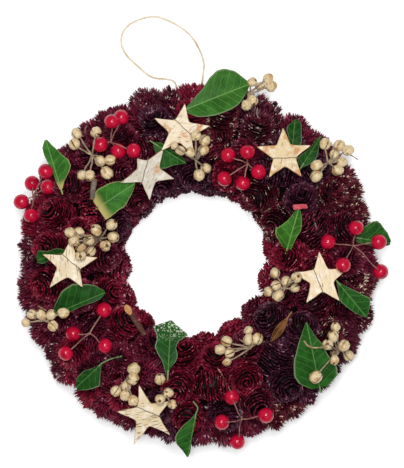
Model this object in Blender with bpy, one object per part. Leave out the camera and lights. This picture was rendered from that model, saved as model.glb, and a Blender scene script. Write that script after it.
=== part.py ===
"""Pinecone wreath, lying on its back.

A willow ring with a flat back carries cones that are glued all round its section. Birch-bark stars,
salal leaves, lacquered berries, tallow-nut sprigs and bits of twig lie on the cones, and a twine loop
for hanging comes out at the top.

Units are metres. +Z faces up, away from the wreath's back, and +Y points to the hanging loop.
Places are first given about the centre of the ring; shift_to_box_centre() then moves the whole
wreath so that its box stands centred on the origin.
"""

import math
import random

import bmesh
import bpy
from mathutils import Matrix, Vector
from mathutils.bvhtree import BVHTree

MM = 0.001

# Clearances
GAP = 0.3 * MM              # between pieces that touch
REST_GAP = 0.5 * MM         # under a piece that is dropped on the pile
SLIVERS = (0.25 * MM, 0.1 * MM)     # edges shorter than this are closed up after a cut
NEAR_ZERO = 1e-9

# How finely the pile is felt
BALL_PLACES = (8, 20)       # rings and turns of the places under a ball where it is tested
STEM_PLACES = (2, 8)        # the same under a stem
SAMPLE_STEP = 1.6 * MM      # between the places tested under a flat piece
SLOPE_STEPS = 7             # places each way from the middle where a slope is measured
SETTLE_WIDENING = 1.5       # how fast the search widens beside the pile

# Willow ring: an ellipse section, cut flat at the back
RING_RADIUS = 98 * MM
RING_HALF_WIDTH = 13 * MM
RING_HALF_HEIGHT = 14 * MM
RING_CORE_HEIGHT = 10 * MM
RING_SEGMENTS = 30
RING_SECTION_POINTS = 8

# Glue bed over the upper half of the ring, one stretch for each cluster of cones
CLUSTER_COUNT = 10
GLUE_THICKNESS = 3 * MM
GLUE_POINTS = 5
GLUE_SEGMENTS = 3
GLUE_END_GAP = math.radians(0.25)

# Cones
CONE_SEED = 11
CONE_SIDES = 6
CONE_RADIUS = 13 * MM
CONE_LENGTH = 37 * MM
CONE_PROFILE = ((0.04, 0.60), (0.42, 1.02), (0.84, 0.66))
NEIGHBOUR_SPARE = 2 * MM    # added when cones of two clusters are tested for nearness

# The rim and hole rows point away from the ring
RIM_BASE_RADIUS = 110 * MM
HOLE_BASE_RADIUS = 86 * MM
HOLE_CONE_SHARE = 0.94      # the hole's cones are slimmer than the rim's
RIM_LEVEL = (16.6, 18.2)    # height of the stem end in mm, from and to
RIM_LIFT = (0, 7)           # degrees above level
RIM_SIZE = (0.95, 1.03)     # share of the radius
RIM_STRAY = 0.02            # radians off the even place
RIM_VEER = 0.12             # radians off the outward heading
# How far each rim cone reaches from the centre, anticlockwise from +X, in mm
OUTER_REACH = (146, 147, 149, 149, 148, 148, 146, 149, 150, 146, 149, 147, 144, 147, 144,
               148, 147, 148, 148, 146, 145, 149, 150, 147, 149, 146, 148, 150, 147)
INNER_REACH = (54, 58, 59, 56, 58, 56, 59, 52, 55, 55, 54, 54, 52, 49, 50)

# Smaller cones stand over the gaps of both rows: stem end (radius, height), cone radius and how far
# each reaches, all in mm
OUTER_GAP_STEM = (112, 25)
OUTER_GAP_RADIUS = 10
OUTER_GAP_REACH = (147, 148, 149, 148, 145, 147, 147, 146, 147, 143, 148, 143, 147, 148, 147,
                   146, 146, 144, 144, 148, 147, 147, 147, 148, 149, 147, 146, 148, 145)
INNER_GAP_STEM = (84, 25)
INNER_GAP_RADIUS = 9.5
INNER_GAP_REACH = (58,) * 15
GAP_LIFT = (2, 11)          # degrees above level
GAP_SIZE = (0.94, 1.04)     # share of the radius

# The rows over the ring: count, phase, middle (radius, height) in mm, lift in degrees, then the turn
# from outward and its spread in radians
UPPER_ROWS = (
    (27, 0.0, (119.5, 37), 50, 0.0, 0.35),
    (11, 0.0, (98, 42), 62, 0.0, 3.0),
    (11, 0.5, (98, 41), 12, math.pi / 2, 0.9),
    (17, 0.3, (77, 37), 52, math.pi, 0.35),
)
UPPER_STRAY = 0.03          # radians off the even place
UPPER_TIP = 10              # degrees either side of the row's lift
UPPER_SHIFT = 1.2           # mm either side of the row's middle
UPPER_LENGTH_SPREAD = 0.06
UPPER_SIZE_SPREAD = 0.05

# Birch-bark stars: (x, y) in mm, the turn of the first arm in degrees, the arms' lengths as shares
STAR_RADIUS = 24 * MM
STAR_NOTCH = 0.41
STAR_THICKNESS = 2.2 * MM
STAR_MAX_SLOPE = 0.22
STARS = (
    ((-13, 107.5), 82, (1.00, 1.05, 1.0, 1.00, 1.05)),
    ((70, 88.5), 92, (0.98, 1.02, 1.0, 1.0, 1.0)),
    ((-39.5, 75), 57, (0.98, 0.62, 1.05, 1.0, 0.96)),
    ((-103, 0), 86, (0.95, 1.0, 1.05, 0.95, 1.05)),
    ((100, -11.5), 94, (1.0, 0.98, 1.0, 1.0, 1.0)),
    ((-40.5, -120), 103, (1.1, 1.05, 1.2, 1.1, 0.98)),
)
# The notches that each star's wire passes through: 0 lies after the first arm
STAR_WIRE_NOTCHES = ((0, 3), (1, 3), (0, 2), (0, 3), (0, 2), (0, 3))
WIRE_RADIUS = 0.4 * MM
WIRE_STANDOFF = 2.4         # the wire's distance from a notch, in clearances

# Salal leaves: base (x, y), tip (x, y), width in mm, cup, arch, then the half widths of the left and
# of the right side at even steps from base to tip, as shares of half the width
LEAF_THICKNESS = 0.8 * MM
LEAF_LENGTH_STEPS = 8
LEAF_MAX_SLOPE = 0.32
LEAF_END_SHARE = 0.06       # a leaf's ends are cut at this share of its width
LEAF_OUTLINE_STEPS = 8
LEAF_FULLNESS = 0.8
LEAVES = (
    ((-10, 125), (42.5, 146), 37, 0.10, 0.05,
     (0.03, 0.2, 0.42, 0.62, 0.9, 1.07, 1.02, 0.78, 0.08),
     (0.1, 0.48, 0.63, 0.72, 0.76, 0.73, 0.64, 0.4, 0.05)),
    ((-109.5, 61), (-122, 101), 19, 0.16, 0.06,
     (0.1, 0.2, 0.22, 0.2, 0.34, 0.46, 0.55, 0.5, 0.12),
     (0.1, 0.45, 1.0, 1.4, 1.36, 0.98, 0.68, 0.35, 0.1)),
    ((-80, 46), (-50, 66), 24, 0.08, 0.06,
     (0.55, 0.95, 1.04, 0.99, 0.94, 0.85, 0.64, 0.38, 0.05),
     (0.95, 0.98, 0.94, 0.91, 0.92, 0.8, 0.6, 0.35, 0.05)),
    ((-34.5, 98), (-9, 82), 18, 0.10, 0.05,
     (0.15, 0.35, 0.4, 0.36, 0.3, 0.3, 0.3, 0.25, 0.05),
     (0.2, 0.5, 0.9, 1.35, 1.65, 1.3, 0.72, 0.38, 0.05)),
    ((76.5, 92), (79, 117.5), 15, 0.10, 0.04,
     (0.2, 0.32, 0.38, 0.46, 0.6, 0.76, 0.8, 0.35, 0.05),
     (0.6, 0.9, 0.92, 0.9, 0.86, 0.82, 0.77, 0.7, 0.3)),
    ((84, 79), (100, 104), 12, 0.20, 0.08,
     (0.4, 0.95, 0.96, 0.68, 0.48, 0.34, 0.35, 0.28, 0.05),
     (0.2, 0.55, 0.95, 1.07, 1.0, 0.75, 0.42, 0.18, 0.05)),
    ((72.5, 13), (82, 46), 19, 0.15, 0.10,
     (0.35, 0.82, 1.28, 1.45, 1.0, 0.66, 0.46, 0.3, 0.08),
     (0.3, 0.4, 0.44, 0.57, 0.68, 0.63, 0.5, 0.32, 0.08)),
    ((129, 22), (156, 17.5), 20, 0.05, 0.05,
     (0.5, 0.9, 1.2, 1.5, 1.66, 1.45, 1.1, 0.78, 0.25),
     (0.3, 0.38, 0.42, 0.42, 0.42, 0.4, 0.35, 0.3, 0.12)),
    ((113, -13.5), (136.5, -42), 20, 0.16, 0.06,
     (0.05, 0.2, 0.4, 0.62, 0.85, 1.05, 1.2, 0.75, 0.12),
     (0.1, 0.3, 0.6, 0.84, 0.76, 0.64, 0.52, 0.32, 0.06)),
    ((99, -99), (88, -46), 32, 0.12, 0.05,
     (0.4, 1.0, 1.15, 1.1, 0.96, 0.76, 0.54, 0.3, 0.03),
     (0.4, 1.0, 1.06, 0.84, 0.7, 0.58, 0.32, 0.16, 0.03)),
    ((-23.5, -88.5), (-21, -44.5), 26, 0.10, 0.05,
     (0.15, 0.32, 0.5, 0.82, 0.86, 0.86, 1.05, 0.98, 0.3),
     (0.05, 0.3, 0.46, 0.42, 0.38, 0.6, 1.04, 0.62, 0.15)),
    ((-1, -120), (-7.5, -155), 17, 0.16, 0.10,
     (0.1, 0.12, 0.1, 0.08, 0.06, 0.06, 0.1, 0.16, 0.05),
     (0.1, 0.35, 0.78, 1.16, 1.44, 1.54, 1.3, 0.6, 0.08)),
    ((-76.5, -79), (-97.5, -99), 18, 0.08, 0.05,
     (0.06, 0.28, 0.62, 1.02, 1.34, 1.2, 0.92, 0.65, 0.32),
     (0.04, 0.1, 0.22, 0.4, 0.62, 0.62, 0.62, 0.44, 0.06)),
    ((-114, -39), (-74, -22), 29, 0.10, 0.07,
     (0.3, 0.65, 0.95, 1.07, 1.14, 0.99, 0.84, 0.58, 0.1),
     (0.1, 0.2, 0.24, 0.22, 0.2, 0.22, 0.26, 0.24, 0.05)),
    ((-105, 10.5), (-129, 4), 13, 0.10, 0.10,
     (0.2, 0.35, 0.42, 0.45, 0.48, 0.5, 0.56, 0.62, 0.3),
     (0.3, 0.52, 0.72, 0.8, 0.72, 0.7, 0.98, 1.1, 0.3)),
)

# Red berries on wire: node (x, y), then each berry's (x, y) in mm
RED_BERRY_RADIUS = 6.2 * MM
RED_STEM_RADIUS = 0.6 * MM
RED_SPRIGS = (
    ((-69.5, 99), ((-68.5, 115.5), (-61, 119), (-78, 97), (-63.5, 92), (-51, 92))),
    ((-132.5, 55), ((-122, 75.5), (-133.5, 66), (-120.5, 63), (-142, 51), (-134, 40))),
    ((41, 81.5), ((25, 88.5), (40.5, 91), (22, 69.5), (37, 66), (49.5, 75))),
    ((126, 15.5), ((128, 30), (105.5, 18.5), (146.5, 18.5), (117.5, 0), (148.5, -5.5))),
    ((-86.5, -55), ((-75, -36.5), (-100, -55.5), (-105.5, -71), (-74, -65))),
    ((36, -124.5), ((28, -106.5), (20, -126.5), (55.5, -121), (32.5, -143))),
)

# Tallow nuts on twigs: node (x, y), then each nut's (x, y, radius) in mm
NUT_STEM_RADIUS = 0.7 * MM
NUT_SPRIGS = (
    ((-84.5, 88.5), ((-97, 106, 4.2), (-98.5, 97.5, 4.5), (-81.5, 107, 4.5), (-92.5, 72.5, 4.2),
                     (-86, 72, 4.2), (-72.5, 74, 4.8), (-78, 84, 4.3), (-70, 84.5, 4.2))),
    ((-1, 84.5), ((-1, 104, 4.2), (6, 100.5, 4.5), (5, 92.5, 4.5), (-13.5, 92, 3.8), (-5.5, 90.5, 4),
                  (-18.5, 96, 3.2), (1.5, 72.5, 4.5), (7, 78, 4.2))),
    ((41.5, 138), ((44.5, 147.5, 3.8), (51, 144.5, 3.6), (57.5, 150.5, 4.2), (60, 144.5, 4.4),
                   (45, 133, 4.2), (40, 129, 4.2))),
    ((105.5, 82.5), ((103, 97.5, 4.6), (115, 96.5, 4.6), (122, 92.5, 4.4), (111, 88.5, 4.4),
                     (117, 83, 4.2), (113.5, 76.5, 4.6), (96.5, 80, 4.6), (96, 71.5, 4.7))),
    ((-79, 21), ((-102, 26, 4.2), (-95, 26, 4.2), (-99, 19.5, 4.2), (-93.5, 14, 4.3), (-93.5, 7.5, 4.3),
                 (-85.5, 11, 4), (-87, 20, 4.5), (-81, 28, 4.5), (-69, 32.5, 4.5), (-67.5, 22.5, 4.5),
                 (-74, 15.5, 4.5))),
    ((71, -18.5), ((63, -6.5, 4), (72, -13, 4), (80, -10, 4.3), (79, -18.5, 3.8), (63.5, -16.5, 3.8),
                   (57.5, -21.5, 4), (65.5, -24.5, 4.4))),
    ((-121, -45), ((-133, -40, 4), (-138, -46.5, 3.6), (-125.5, -40, 4.2), (-117.5, -40, 4.2),
                   (-116, -49, 4.2), (-107.5, -38.5, 4.2))),
    ((-57, -93), ((-51, -83.5, 5), (-51.5, -91.5, 5), (-57, -98, 4), (-58, -105, 4.2),
                  (-65.5, -101.5, 4.2), (-51.5, -109, 4.2))),
    ((-27.5, -101), ((-30, -92, 4.5), (-23, -103, 4.2), (-29.5, -108, 4.2), (-20, -112, 3.8))),
    ((42.5, -67), ((24, -61.5, 4.4), (18.5, -68, 4.2), (26, -70.5, 4.2), (24, -78, 3.4),
                   (41.5, -53, 3.6), (41.5, -60, 4.4), (48.5, -59.5, 4.4))),
    ((113.5, -68.5), ((111.5, -50, 3.8), (109.5, -57.5, 4.4), (105, -64, 4.4), (111, -69.5, 4.2),
                      (110.5, -76.5, 3.8), (118.5, -65, 4.4), (122.5, -73, 4.4), (95.5, -90, 5))),
)
STEM_CLEARANCE = 0.4 * MM
STEM_SAMPLES = 6
STEM_PIECES = 3
STEM_ARCH_STEP = 1 * MM
STEM_MAX_ARCH = 14 * MM
SPRIG_LEVEL = 36 * MM       # the lowest that wire or twig holds a sprig's node
BERRY_MAX_DROP = 9 * MM     # how far below its node a stem lets a berry hang
BERRY_TURN = 0.37           # radians from each berry's facets to the next one's
JOINT_TURN = 0.1

# Twigs and bits: (x, y) of both ends in mm, radius in mm
TWIGS = {
    "twig_stub": ((-82.5, 69), (-84.5, 53), 2.4),
    "cut_stick": ((-55.5, -36), (-42.5, -56), 2.8),
}
DRY_LEAF = ((74, -41), (59.5, -62), 7, 0.30, 0.05)
DRY_LEAF_FULLEST = 0.55     # where along its length it is widest
TWIG_TAPER = 0.85
BARK_CHIP = ((83, 47), (11, 4, 2), 4)       # (x, y), sizes in mm, turn in degrees

# Twine loop: both ends meet the ring's side, the rest lies on the table
TWINE_RADIUS = 1.0 * MM
TWINE_POINT_STEP = 5.2 * MM
ROUTE_FINENESS = 20         # steps between two route points before they are spaced evenly
TWINE_ROUTE = (
    (-11.4, 109.7, 4.6), (-12.6, 117, 3.2), (-13.8, 127, 1.6), (-15.3, 138, 1.2), (-18.5, 148.5, 1.1),
    (-26.5, 151, 1.1), (-33, 151.5, 1.1), (-39.5, 154, 1.1), (-50, 163, 1.1), (-57.5, 170.5, 1.1),
    (-61.5, 179.5, 1.1), (-60.5, 188, 1.1), (-55, 195, 1.1), (-44.5, 200, 1.1), (-34, 201.5, 1.1),
    (-24, 198.5, 1.1), (-13.5, 193, 1.1), (-4, 184.5, 1.1), (2.5, 173.5, 1.1), (5.5, 163.5, 1.1),
    (5, 155.5, 1.1), (4, 147, 1.1), (3.2, 137, 1.2), (2.6, 127, 1.6), (2.2, 117, 3.2), (2, 110.3, 4.6),
)

# Finishes: colour, roughness, metallic
FINISHES = {
    "willow": ((0.23, 0.14, 0.07), 0.75, 0.0),
    "cone_scales": ((0.10, 0.012, 0.025), 0.45, 0.0),
    "birch_bark": ((0.78, 0.66, 0.47), 0.7, 0.0),
    "iron_wire": ((0.08, 0.06, 0.05), 0.4, 1.0),
    "salal_leaf": ((0.06, 0.20, 0.045), 0.5, 0.0),
    "red_lacquer": ((0.55, 0.01, 0.03), 0.15, 0.0),
    "tallow_nut": ((0.74, 0.64, 0.42), 0.6, 0.0),
    "twig_bark": ((0.16, 0.09, 0.05), 0.8, 0.0),
    "dry_leaf": ((0.30, 0.16, 0.07), 0.75, 0.0),
    "dyed_bark": ((0.55, 0.06, 0.08), 0.6, 0.0),
    "jute": ((0.72, 0.52, 0.30), 0.85, 0.0),
}


# ---------------------------------------------------------------- scene and small helpers

def clear_scene():
    """Removes what the file starts with."""
    for item in list(bpy.data.objects):
        bpy.data.objects.remove(item, do_unlink=True)


def material(name):
    """The Principled material of one finish."""
    colour, roughness, metallic = FINISHES[name]
    made = bpy.data.materials.get(name) or bpy.data.materials.new(name)
    made.use_nodes = True
    shader = made.node_tree.nodes["Principled BSDF"]
    shader.inputs["Base Color"].default_value = (*colour, 1.0)
    shader.inputs["Roughness"].default_value = roughness
    shader.inputs["Metallic"].default_value = metallic
    return made


def add_object(name, mesh, finish):
    """Links a mesh to the scene as a named piece."""
    mesh.name = name
    mesh.materials.clear()
    mesh.materials.append(finish)
    made = bpy.data.objects.new(name, mesh)
    bpy.context.scene.collection.objects.link(made)
    return made


def mesh_from(bm):
    """Turns a bmesh into a mesh and frees it."""
    mesh = bpy.data.meshes.new("shape")
    bmesh.ops.recalc_face_normals(bm, faces=bm.faces)
    bm.to_mesh(mesh)
    bm.free()
    return mesh


def combine(added, removed=()):
    """One closed mesh: every added shape joined, every removed shape cut away."""
    scene = bpy.context.scene
    body = bpy.data.objects.new("body", added[0])
    scene.collection.objects.link(body)
    helpers = []
    for operation, shapes in (("UNION", added[1:]), ("DIFFERENCE", removed)):
        for shape in shapes:
            helper = bpy.data.objects.new("helper", shape)
            scene.collection.objects.link(helper)
            helper.hide_render = True
            helper.display_type = "WIRE"
            helpers.append(helper)
            boolean = body.modifiers.new(operation, "BOOLEAN")
            boolean.operation = operation
            boolean.solver = "EXACT"
            boolean.object = helper
    graph = bpy.context.evaluated_depsgraph_get()
    joined = bpy.data.meshes.new_from_object(body.evaluated_get(graph))
    for item in [body, *helpers]:
        bpy.data.objects.remove(item, do_unlink=True)
    return largest_body(joined)


def close_slivers(bm):
    """Closes the short edges that a cut leaves, as long as the surface stays closed."""
    for limit in SLIVERS:
        trial = bm.copy()
        bmesh.ops.remove_doubles(trial, verts=trial.verts, dist=limit)
        bmesh.ops.dissolve_degenerate(trial, edges=trial.edges, dist=limit)
        sound = all(edge.is_manifold for edge in trial.edges)
        if sound and all(vertex.is_manifold for vertex in trial.verts):
            return trial
        trial.free()
    return bm.copy()


def largest_body(mesh):
    """Drops the crumbs and slivers that a cut leaves."""
    bm = bmesh.new()
    bm.from_mesh(mesh)
    unseen = set(bm.verts)
    bodies = []
    while unseen:
        body = {unseen.pop()}
        edge_of_search = list(body)
        while edge_of_search:
            for edge in edge_of_search.pop().link_edges:
                for vertex in edge.verts:
                    if vertex in unseen:
                        unseen.remove(vertex)
                        body.add(vertex)
                        edge_of_search.append(vertex)
        bodies.append(body)
    bodies.sort(key=len)
    for crumb in bodies[:-1]:
        bmesh.ops.delete(bm, geom=list(crumb), context="VERTS")
    closed = close_slivers(bm)
    closed.to_mesh(mesh)
    closed.free()
    bm.free()
    return mesh


def tube(points, radius, cyclic=False):
    """A square-section tube along the points, as a closed mesh."""
    curve = bpy.data.curves.new("tube", "CURVE")
    curve.dimensions = "3D"
    curve.bevel_depth = radius
    curve.bevel_resolution = 0
    curve.use_fill_caps = not cyclic
    spline = curve.splines.new("POLY")
    spline.points.add(len(points) - 1)
    for place, point in zip(spline.points, points):
        place.co = (*point, 1.0)
    spline.use_cyclic_u = cyclic
    helper = bpy.data.objects.new("tube", curve)
    bpy.context.scene.collection.objects.link(helper)
    graph = bpy.context.evaluated_depsgraph_get()
    mesh = bpy.data.meshes.new_from_object(helper.evaluated_get(graph))
    bpy.data.objects.remove(helper, do_unlink=True)
    bm = bmesh.new()
    bm.from_mesh(mesh)
    bmesh.ops.remove_doubles(bm, verts=bm.verts, dist=0.01 * MM)
    return mesh_from(bm)


def ball(centre, radius, sides, rings, turn):
    """A faceted sphere, turned so that no facet lies in a neighbour's plane."""
    bm = bmesh.new()
    place = Matrix.Translation(centre) @ Matrix.Rotation(turn, 4, "Z") @ Matrix.Rotation(turn / 5, 4, "X")
    bmesh.ops.create_uvsphere(bm, u_segments=sides, v_segments=rings, radius=radius, matrix=place)
    return mesh_from(bm)


# ---------------------------------------------------------------- the pile that pieces rest on

class Pile:
    """The upper surface of what has been placed so far."""

    def __init__(self):
        self.trees = []
        self.points = []

    def add(self, *meshes):
        """Lays more meshes on the pile."""
        corners, faces = [], []
        for mesh in meshes:
            first = len(corners)
            corners += [vertex.co.copy() for vertex in mesh.vertices]
            faces += [[first + k for k in face.vertices] for face in mesh.polygons]
        self.trees.append(BVHTree.FromPolygons(corners, faces))
        self.points.extend(corners)

    def height(self, x, y):
        """The height of the pile at one place, or None beside it."""
        best = None
        for tree in self.trees:
            hit = tree.ray_cast(Vector((x, y, 1.0)), Vector((0, 0, -1)))[0]
            if hit is not None and (best is None or hit.z > best):
                best = hit.z
        return best

    def slopes(self, x, y, reach, limit):
        """The lean of the plane that fits the pile best round one place."""
        rows = []
        steps = SLOPE_STEPS
        for i in range(-steps, steps + 1):
            for j in range(-steps, steps + 1):
                dx, dy = reach * i / steps, reach * j / steps
                high = self.height(x + dx, y + dy) if dx * dx + dy * dy <= reach * reach else None
                if high is not None:
                    rows.append((dx, dy, high))
        mean = [sum(row[k] for row in rows) / len(rows) for k in range(3)]
        sxx = sum((r[0] - mean[0]) ** 2 for r in rows)
        syy = sum((r[1] - mean[1]) ** 2 for r in rows)
        sxy = sum((r[0] - mean[0]) * (r[1] - mean[1]) for r in rows)
        sxz = sum((r[0] - mean[0]) * (r[2] - mean[2]) for r in rows)
        syz = sum((r[1] - mean[1]) * (r[2] - mean[2]) for r in rows)
        spread = sxx * syy - sxy * sxy
        lean = Vector(((sxz * syy - syz * sxy) / spread, (syz * sxx - sxz * sxy) / spread))
        return lean * min(1.0, limit / max(lean.length, NEAR_ZERO))

    def rest(self, meshes):
        """Lowers or raises the meshes together until they just clear the pile."""
        rise = -1.0
        for mesh in meshes:
            corners = [vertex.co.copy() for vertex in mesh.vertices]
            faces = [tuple(face.vertices) for face in mesh.polygons]
            for place in bottom_samples(mesh):
                high = self.height(place.x, place.y)
                if high is not None:
                    rise = max(rise, high - place.z)
            tree = BVHTree.FromPolygons(corners, faces)
            low = Vector([min(c[k] for c in corners) for k in range(3)])
            top = Vector([max(c[k] for c in corners) for k in range(3)])
            for point in self.points:
                if low.x < point.x < top.x and low.y < point.y < top.y:
                    hit = tree.ray_cast(Vector((point.x, point.y, -1.0)), Vector((0, 0, 1)))[0]
                    if hit is not None:
                        rise = max(rise, point.z - hit.z)
        for mesh in meshes:
            mesh.transform(Matrix.Translation((0, 0, rise + REST_GAP)))

    def ball_height(self, x, y, radius, places=BALL_PLACES):
        """The centre height of a ball that rests here, or None with nothing under it."""
        best = None
        for ring in range(places[0] + 1):
            across = radius * ring / places[0]
            for turn in range(places[1] if ring else 1):
                angle = 2 * math.pi * turn / places[1]
                high = self.height(x + across * math.cos(angle), y + across * math.sin(angle))
                if high is not None:
                    reach = radius + REST_GAP
                    centre = high + math.sqrt(reach * reach - across * across)
                    best = centre if best is None else max(best, centre)
        return best

    def settle(self, x, y, radius):
        """The centre height of a ball held here, level with the nearest part of the pile."""
        reach = radius
        high = self.ball_height(x, y, reach)
        while high is None:
            reach *= SETTLE_WIDENING
            high = self.ball_height(x, y, reach)
        return high - (reach - radius)


def bottom_samples(mesh):
    """Points spread over the downward faces of a mesh."""
    mesh.calc_loop_triangles()
    places = []
    for triangle in mesh.loop_triangles:
        if triangle.normal.z > 0:
            continue
        a, b, c = (mesh.vertices[k].co for k in triangle.vertices)
        count = max(1, math.ceil(max((b - a).length, (c - a).length, (c - b).length) / SAMPLE_STEP))
        for i in range(count + 1):
            for j in range(count + 1 - i):
                places.append(a + (b - a) * (i / count) + (c - a) * (j / count))
    return places


# ---------------------------------------------------------------- ring and cones

def ellipse_point(angle, grow):
    """A point (radius, height) on the ring's section, grown outward."""
    return (RING_RADIUS + (RING_HALF_WIDTH + grow) * math.cos(angle),
            RING_CORE_HEIGHT + (RING_HALF_HEIGHT + grow) * math.sin(angle))


def swept_section(section, start, end, segments):
    """Turns a closed section of (radius, height) points about the wreath's axis."""
    bm = bmesh.new()
    corners = [bm.verts.new((r * math.cos(start), r * math.sin(start), z)) for r, z in section]
    face = bm.faces.new(corners)
    full = abs(end - start - 2 * math.pi) < NEAR_ZERO
    bmesh.ops.spin(bm, geom=[face, *face.edges, *face.verts], cent=(0, 0, 0), axis=(0, 0, 1),
                   angle=end - start, steps=segments, use_merge=full)
    if full:
        inner = [item for item in bm.faces if len(item.verts) == len(section)]
        bmesh.ops.delete(bm, geom=inner, context="FACES_ONLY")
    return mesh_from(bm)


def ring_section(grow):
    """The ring's section: an ellipse whose lower part is cut flat."""
    floor = -grow
    sink = math.asin((floor - RING_CORE_HEIGHT) / (RING_HALF_HEIGHT + grow))
    last = RING_SECTION_POINTS - 1
    angles = [sink + (math.pi - 2 * sink) * k / last for k in range(RING_SECTION_POINTS)]
    return [ellipse_point(angle, grow) for angle in angles]


def glue_section(inner, outer):
    """The glue bed's section, a band over the upper half of the ring."""
    over = [ellipse_point(math.pi * k / (GLUE_POINTS - 1), outer) for k in range(GLUE_POINTS)]
    under = [ellipse_point(math.pi * k / (GLUE_POINTS - 1), inner) for k in range(GLUE_POINTS)]
    return over + under[::-1]


def glue_bed(sector, grow=0.0):
    """The glue of one cluster, or its keep-out when it is grown."""
    width = 2 * math.pi / CLUSTER_COUNT
    spare = GLUE_END_GAP - grow / RING_RADIUS
    inner = 2 * GAP - grow
    outer = 2 * GAP + GLUE_THICKNESS + grow
    return swept_section(glue_section(inner, outer), sector * width + spare,
                         (sector + 1) * width - spare, GLUE_SEGMENTS)


class Cone:
    """One cone: where its stem end sits, which way it points and how big it is."""

    def __init__(self, base, axis, length, radius, spin):
        self.base = base
        self.axis = axis
        self.length = length
        self.radius = radius
        self.spin = spin
        turn = math.atan2(base.y, base.x) % (2 * math.pi)
        self.sector = int(turn / (2 * math.pi / CLUSTER_COUNT))

    def mesh(self, grow=0.0):
        """The outline of the cone's scales, a faceted solid of revolution."""
        bm = bmesh.new()
        length = self.length + 2 * grow
        turn = self.axis.to_track_quat("Z", "Y").to_matrix().to_4x4()
        place = Matrix.Translation(self.base - self.axis * grow) @ turn @ Matrix.Rotation(self.spin, 4, "Z")
        rings = []
        for share, width in CONE_PROFILE:
            ring = bmesh.ops.create_circle(bm, segments=CONE_SIDES, radius=self.radius * width + grow,
                                           matrix=place @ Matrix.Translation((0, 0, share * length)))
            rings.append(ring["verts"])
        for low, high in zip(rings, rings[1:]):
            for k in range(CONE_SIDES):
                after = (k + 1) % CONE_SIDES
                bm.faces.new((low[k], low[after], high[after], high[k]))
        for ring, share in ((rings[0], 0.0), (rings[-1], 1.0)):
            pole = bm.verts.new(place @ Vector((0, 0, share * length)))
            for k in range(CONE_SIDES):
                bm.faces.new((ring[k], ring[(k + 1) % CONE_SIDES], pole))
        return mesh_from(bm)


def pointing(heading, lift):
    """A unit vector from a compass heading and a lift above the table."""
    return Vector((math.cos(heading) * math.cos(lift), math.sin(heading) * math.cos(lift), math.sin(lift)))


def rim_cones(rng, reaches, base_radius, outward):
    """A row of cones that point away from the ring, level with it."""
    row = []
    for index, reach in enumerate(reaches):
        angle = 2 * math.pi * (index + 0.5) / len(reaches) + rng.uniform(-RIM_STRAY, RIM_STRAY)
        heading = angle + (0 if outward else math.pi) + rng.uniform(-RIM_VEER, RIM_VEER)
        axis = pointing(heading, math.radians(rng.uniform(*RIM_LIFT)))
        base = pointing(angle, 0) * base_radius + Vector((0, 0, rng.uniform(*RIM_LEVEL) * MM))
        length = abs(reach * MM - base_radius)
        radius = CONE_RADIUS * rng.uniform(*RIM_SIZE) * (1.0 if outward else HOLE_CONE_SHARE)
        row.append(Cone(base, axis, length, radius, rng.uniform(0, math.pi)))
    return row


def gap_cones(rng, reaches, stem, radius, outward):
    """A row of smaller cones over the gaps between the cones of the rim or of the hole."""
    row = []
    for index, reach in enumerate(reaches):
        angle = 2 * math.pi * index / len(reaches) + rng.uniform(-RIM_STRAY, RIM_STRAY)
        heading = angle + (0 if outward else math.pi) + rng.uniform(-RIM_VEER, RIM_VEER)
        axis = pointing(heading, math.radians(rng.uniform(*GAP_LIFT)))
        base = pointing(angle, 0) * stem[0] * MM + Vector((0, 0, stem[1] * MM))
        length = abs(reach - stem[0]) * MM
        size = radius * MM * rng.uniform(*GAP_SIZE)
        row.append(Cone(base, axis, length, size, rng.uniform(0, math.pi)))
    return row


def upper_cones(rng, count, phase, centre, lift, turn, spread):
    """A row of cones over the ring, by the place of their middles."""
    row = []
    for index in range(count):
        angle = 2 * math.pi * (index + phase) / count + rng.uniform(-UPPER_STRAY, UPPER_STRAY)
        heading = angle + turn + rng.uniform(-spread, spread)
        axis = pointing(heading, math.radians(lift + rng.uniform(-UPPER_TIP, UPPER_TIP)))
        middle = pointing(angle, 0) * (centre[0] + rng.uniform(-UPPER_SHIFT, UPPER_SHIFT)) * MM
        middle.z = (centre[1] + rng.uniform(-UPPER_SHIFT, UPPER_SHIFT)) * MM
        length = CONE_LENGTH * (1 + rng.uniform(-UPPER_LENGTH_SPREAD, UPPER_LENGTH_SPREAD))
        radius = CONE_RADIUS * (1 + rng.uniform(-UPPER_SIZE_SPREAD, UPPER_SIZE_SPREAD))
        row.append(Cone(middle - axis * length / 2, axis, length, radius, rng.uniform(0, math.pi)))
    return row


def cone_layout():
    """All the cones, row by row from the rim to the hole, then those over the gaps."""
    rng = random.Random(CONE_SEED)
    cones = rim_cones(rng, OUTER_REACH, RIM_BASE_RADIUS, True)
    for row in UPPER_ROWS:
        cones += upper_cones(rng, *row)
    cones += rim_cones(rng, INNER_REACH, HOLE_BASE_RADIUS, False)
    cones += gap_cones(rng, OUTER_GAP_REACH, OUTER_GAP_STEM, OUTER_GAP_RADIUS, True)
    cones += gap_cones(rng, INNER_GAP_REACH, INNER_GAP_STEM, INNER_GAP_RADIUS, False)
    return cones


def build_ring():
    """The willow ring."""
    mesh = swept_section(ring_section(0.0), 0.0, 2 * math.pi, RING_SEGMENTS)
    add_object("base_ring", mesh, material("willow"))


def near(one, other):
    """Whether two cones could touch."""
    middle_one = one.base + one.axis * one.length / 2
    middle_other = other.base + other.axis * other.length / 2
    return (middle_one - middle_other).length < (one.length + other.length) / 2 + NEIGHBOUR_SPARE


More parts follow.
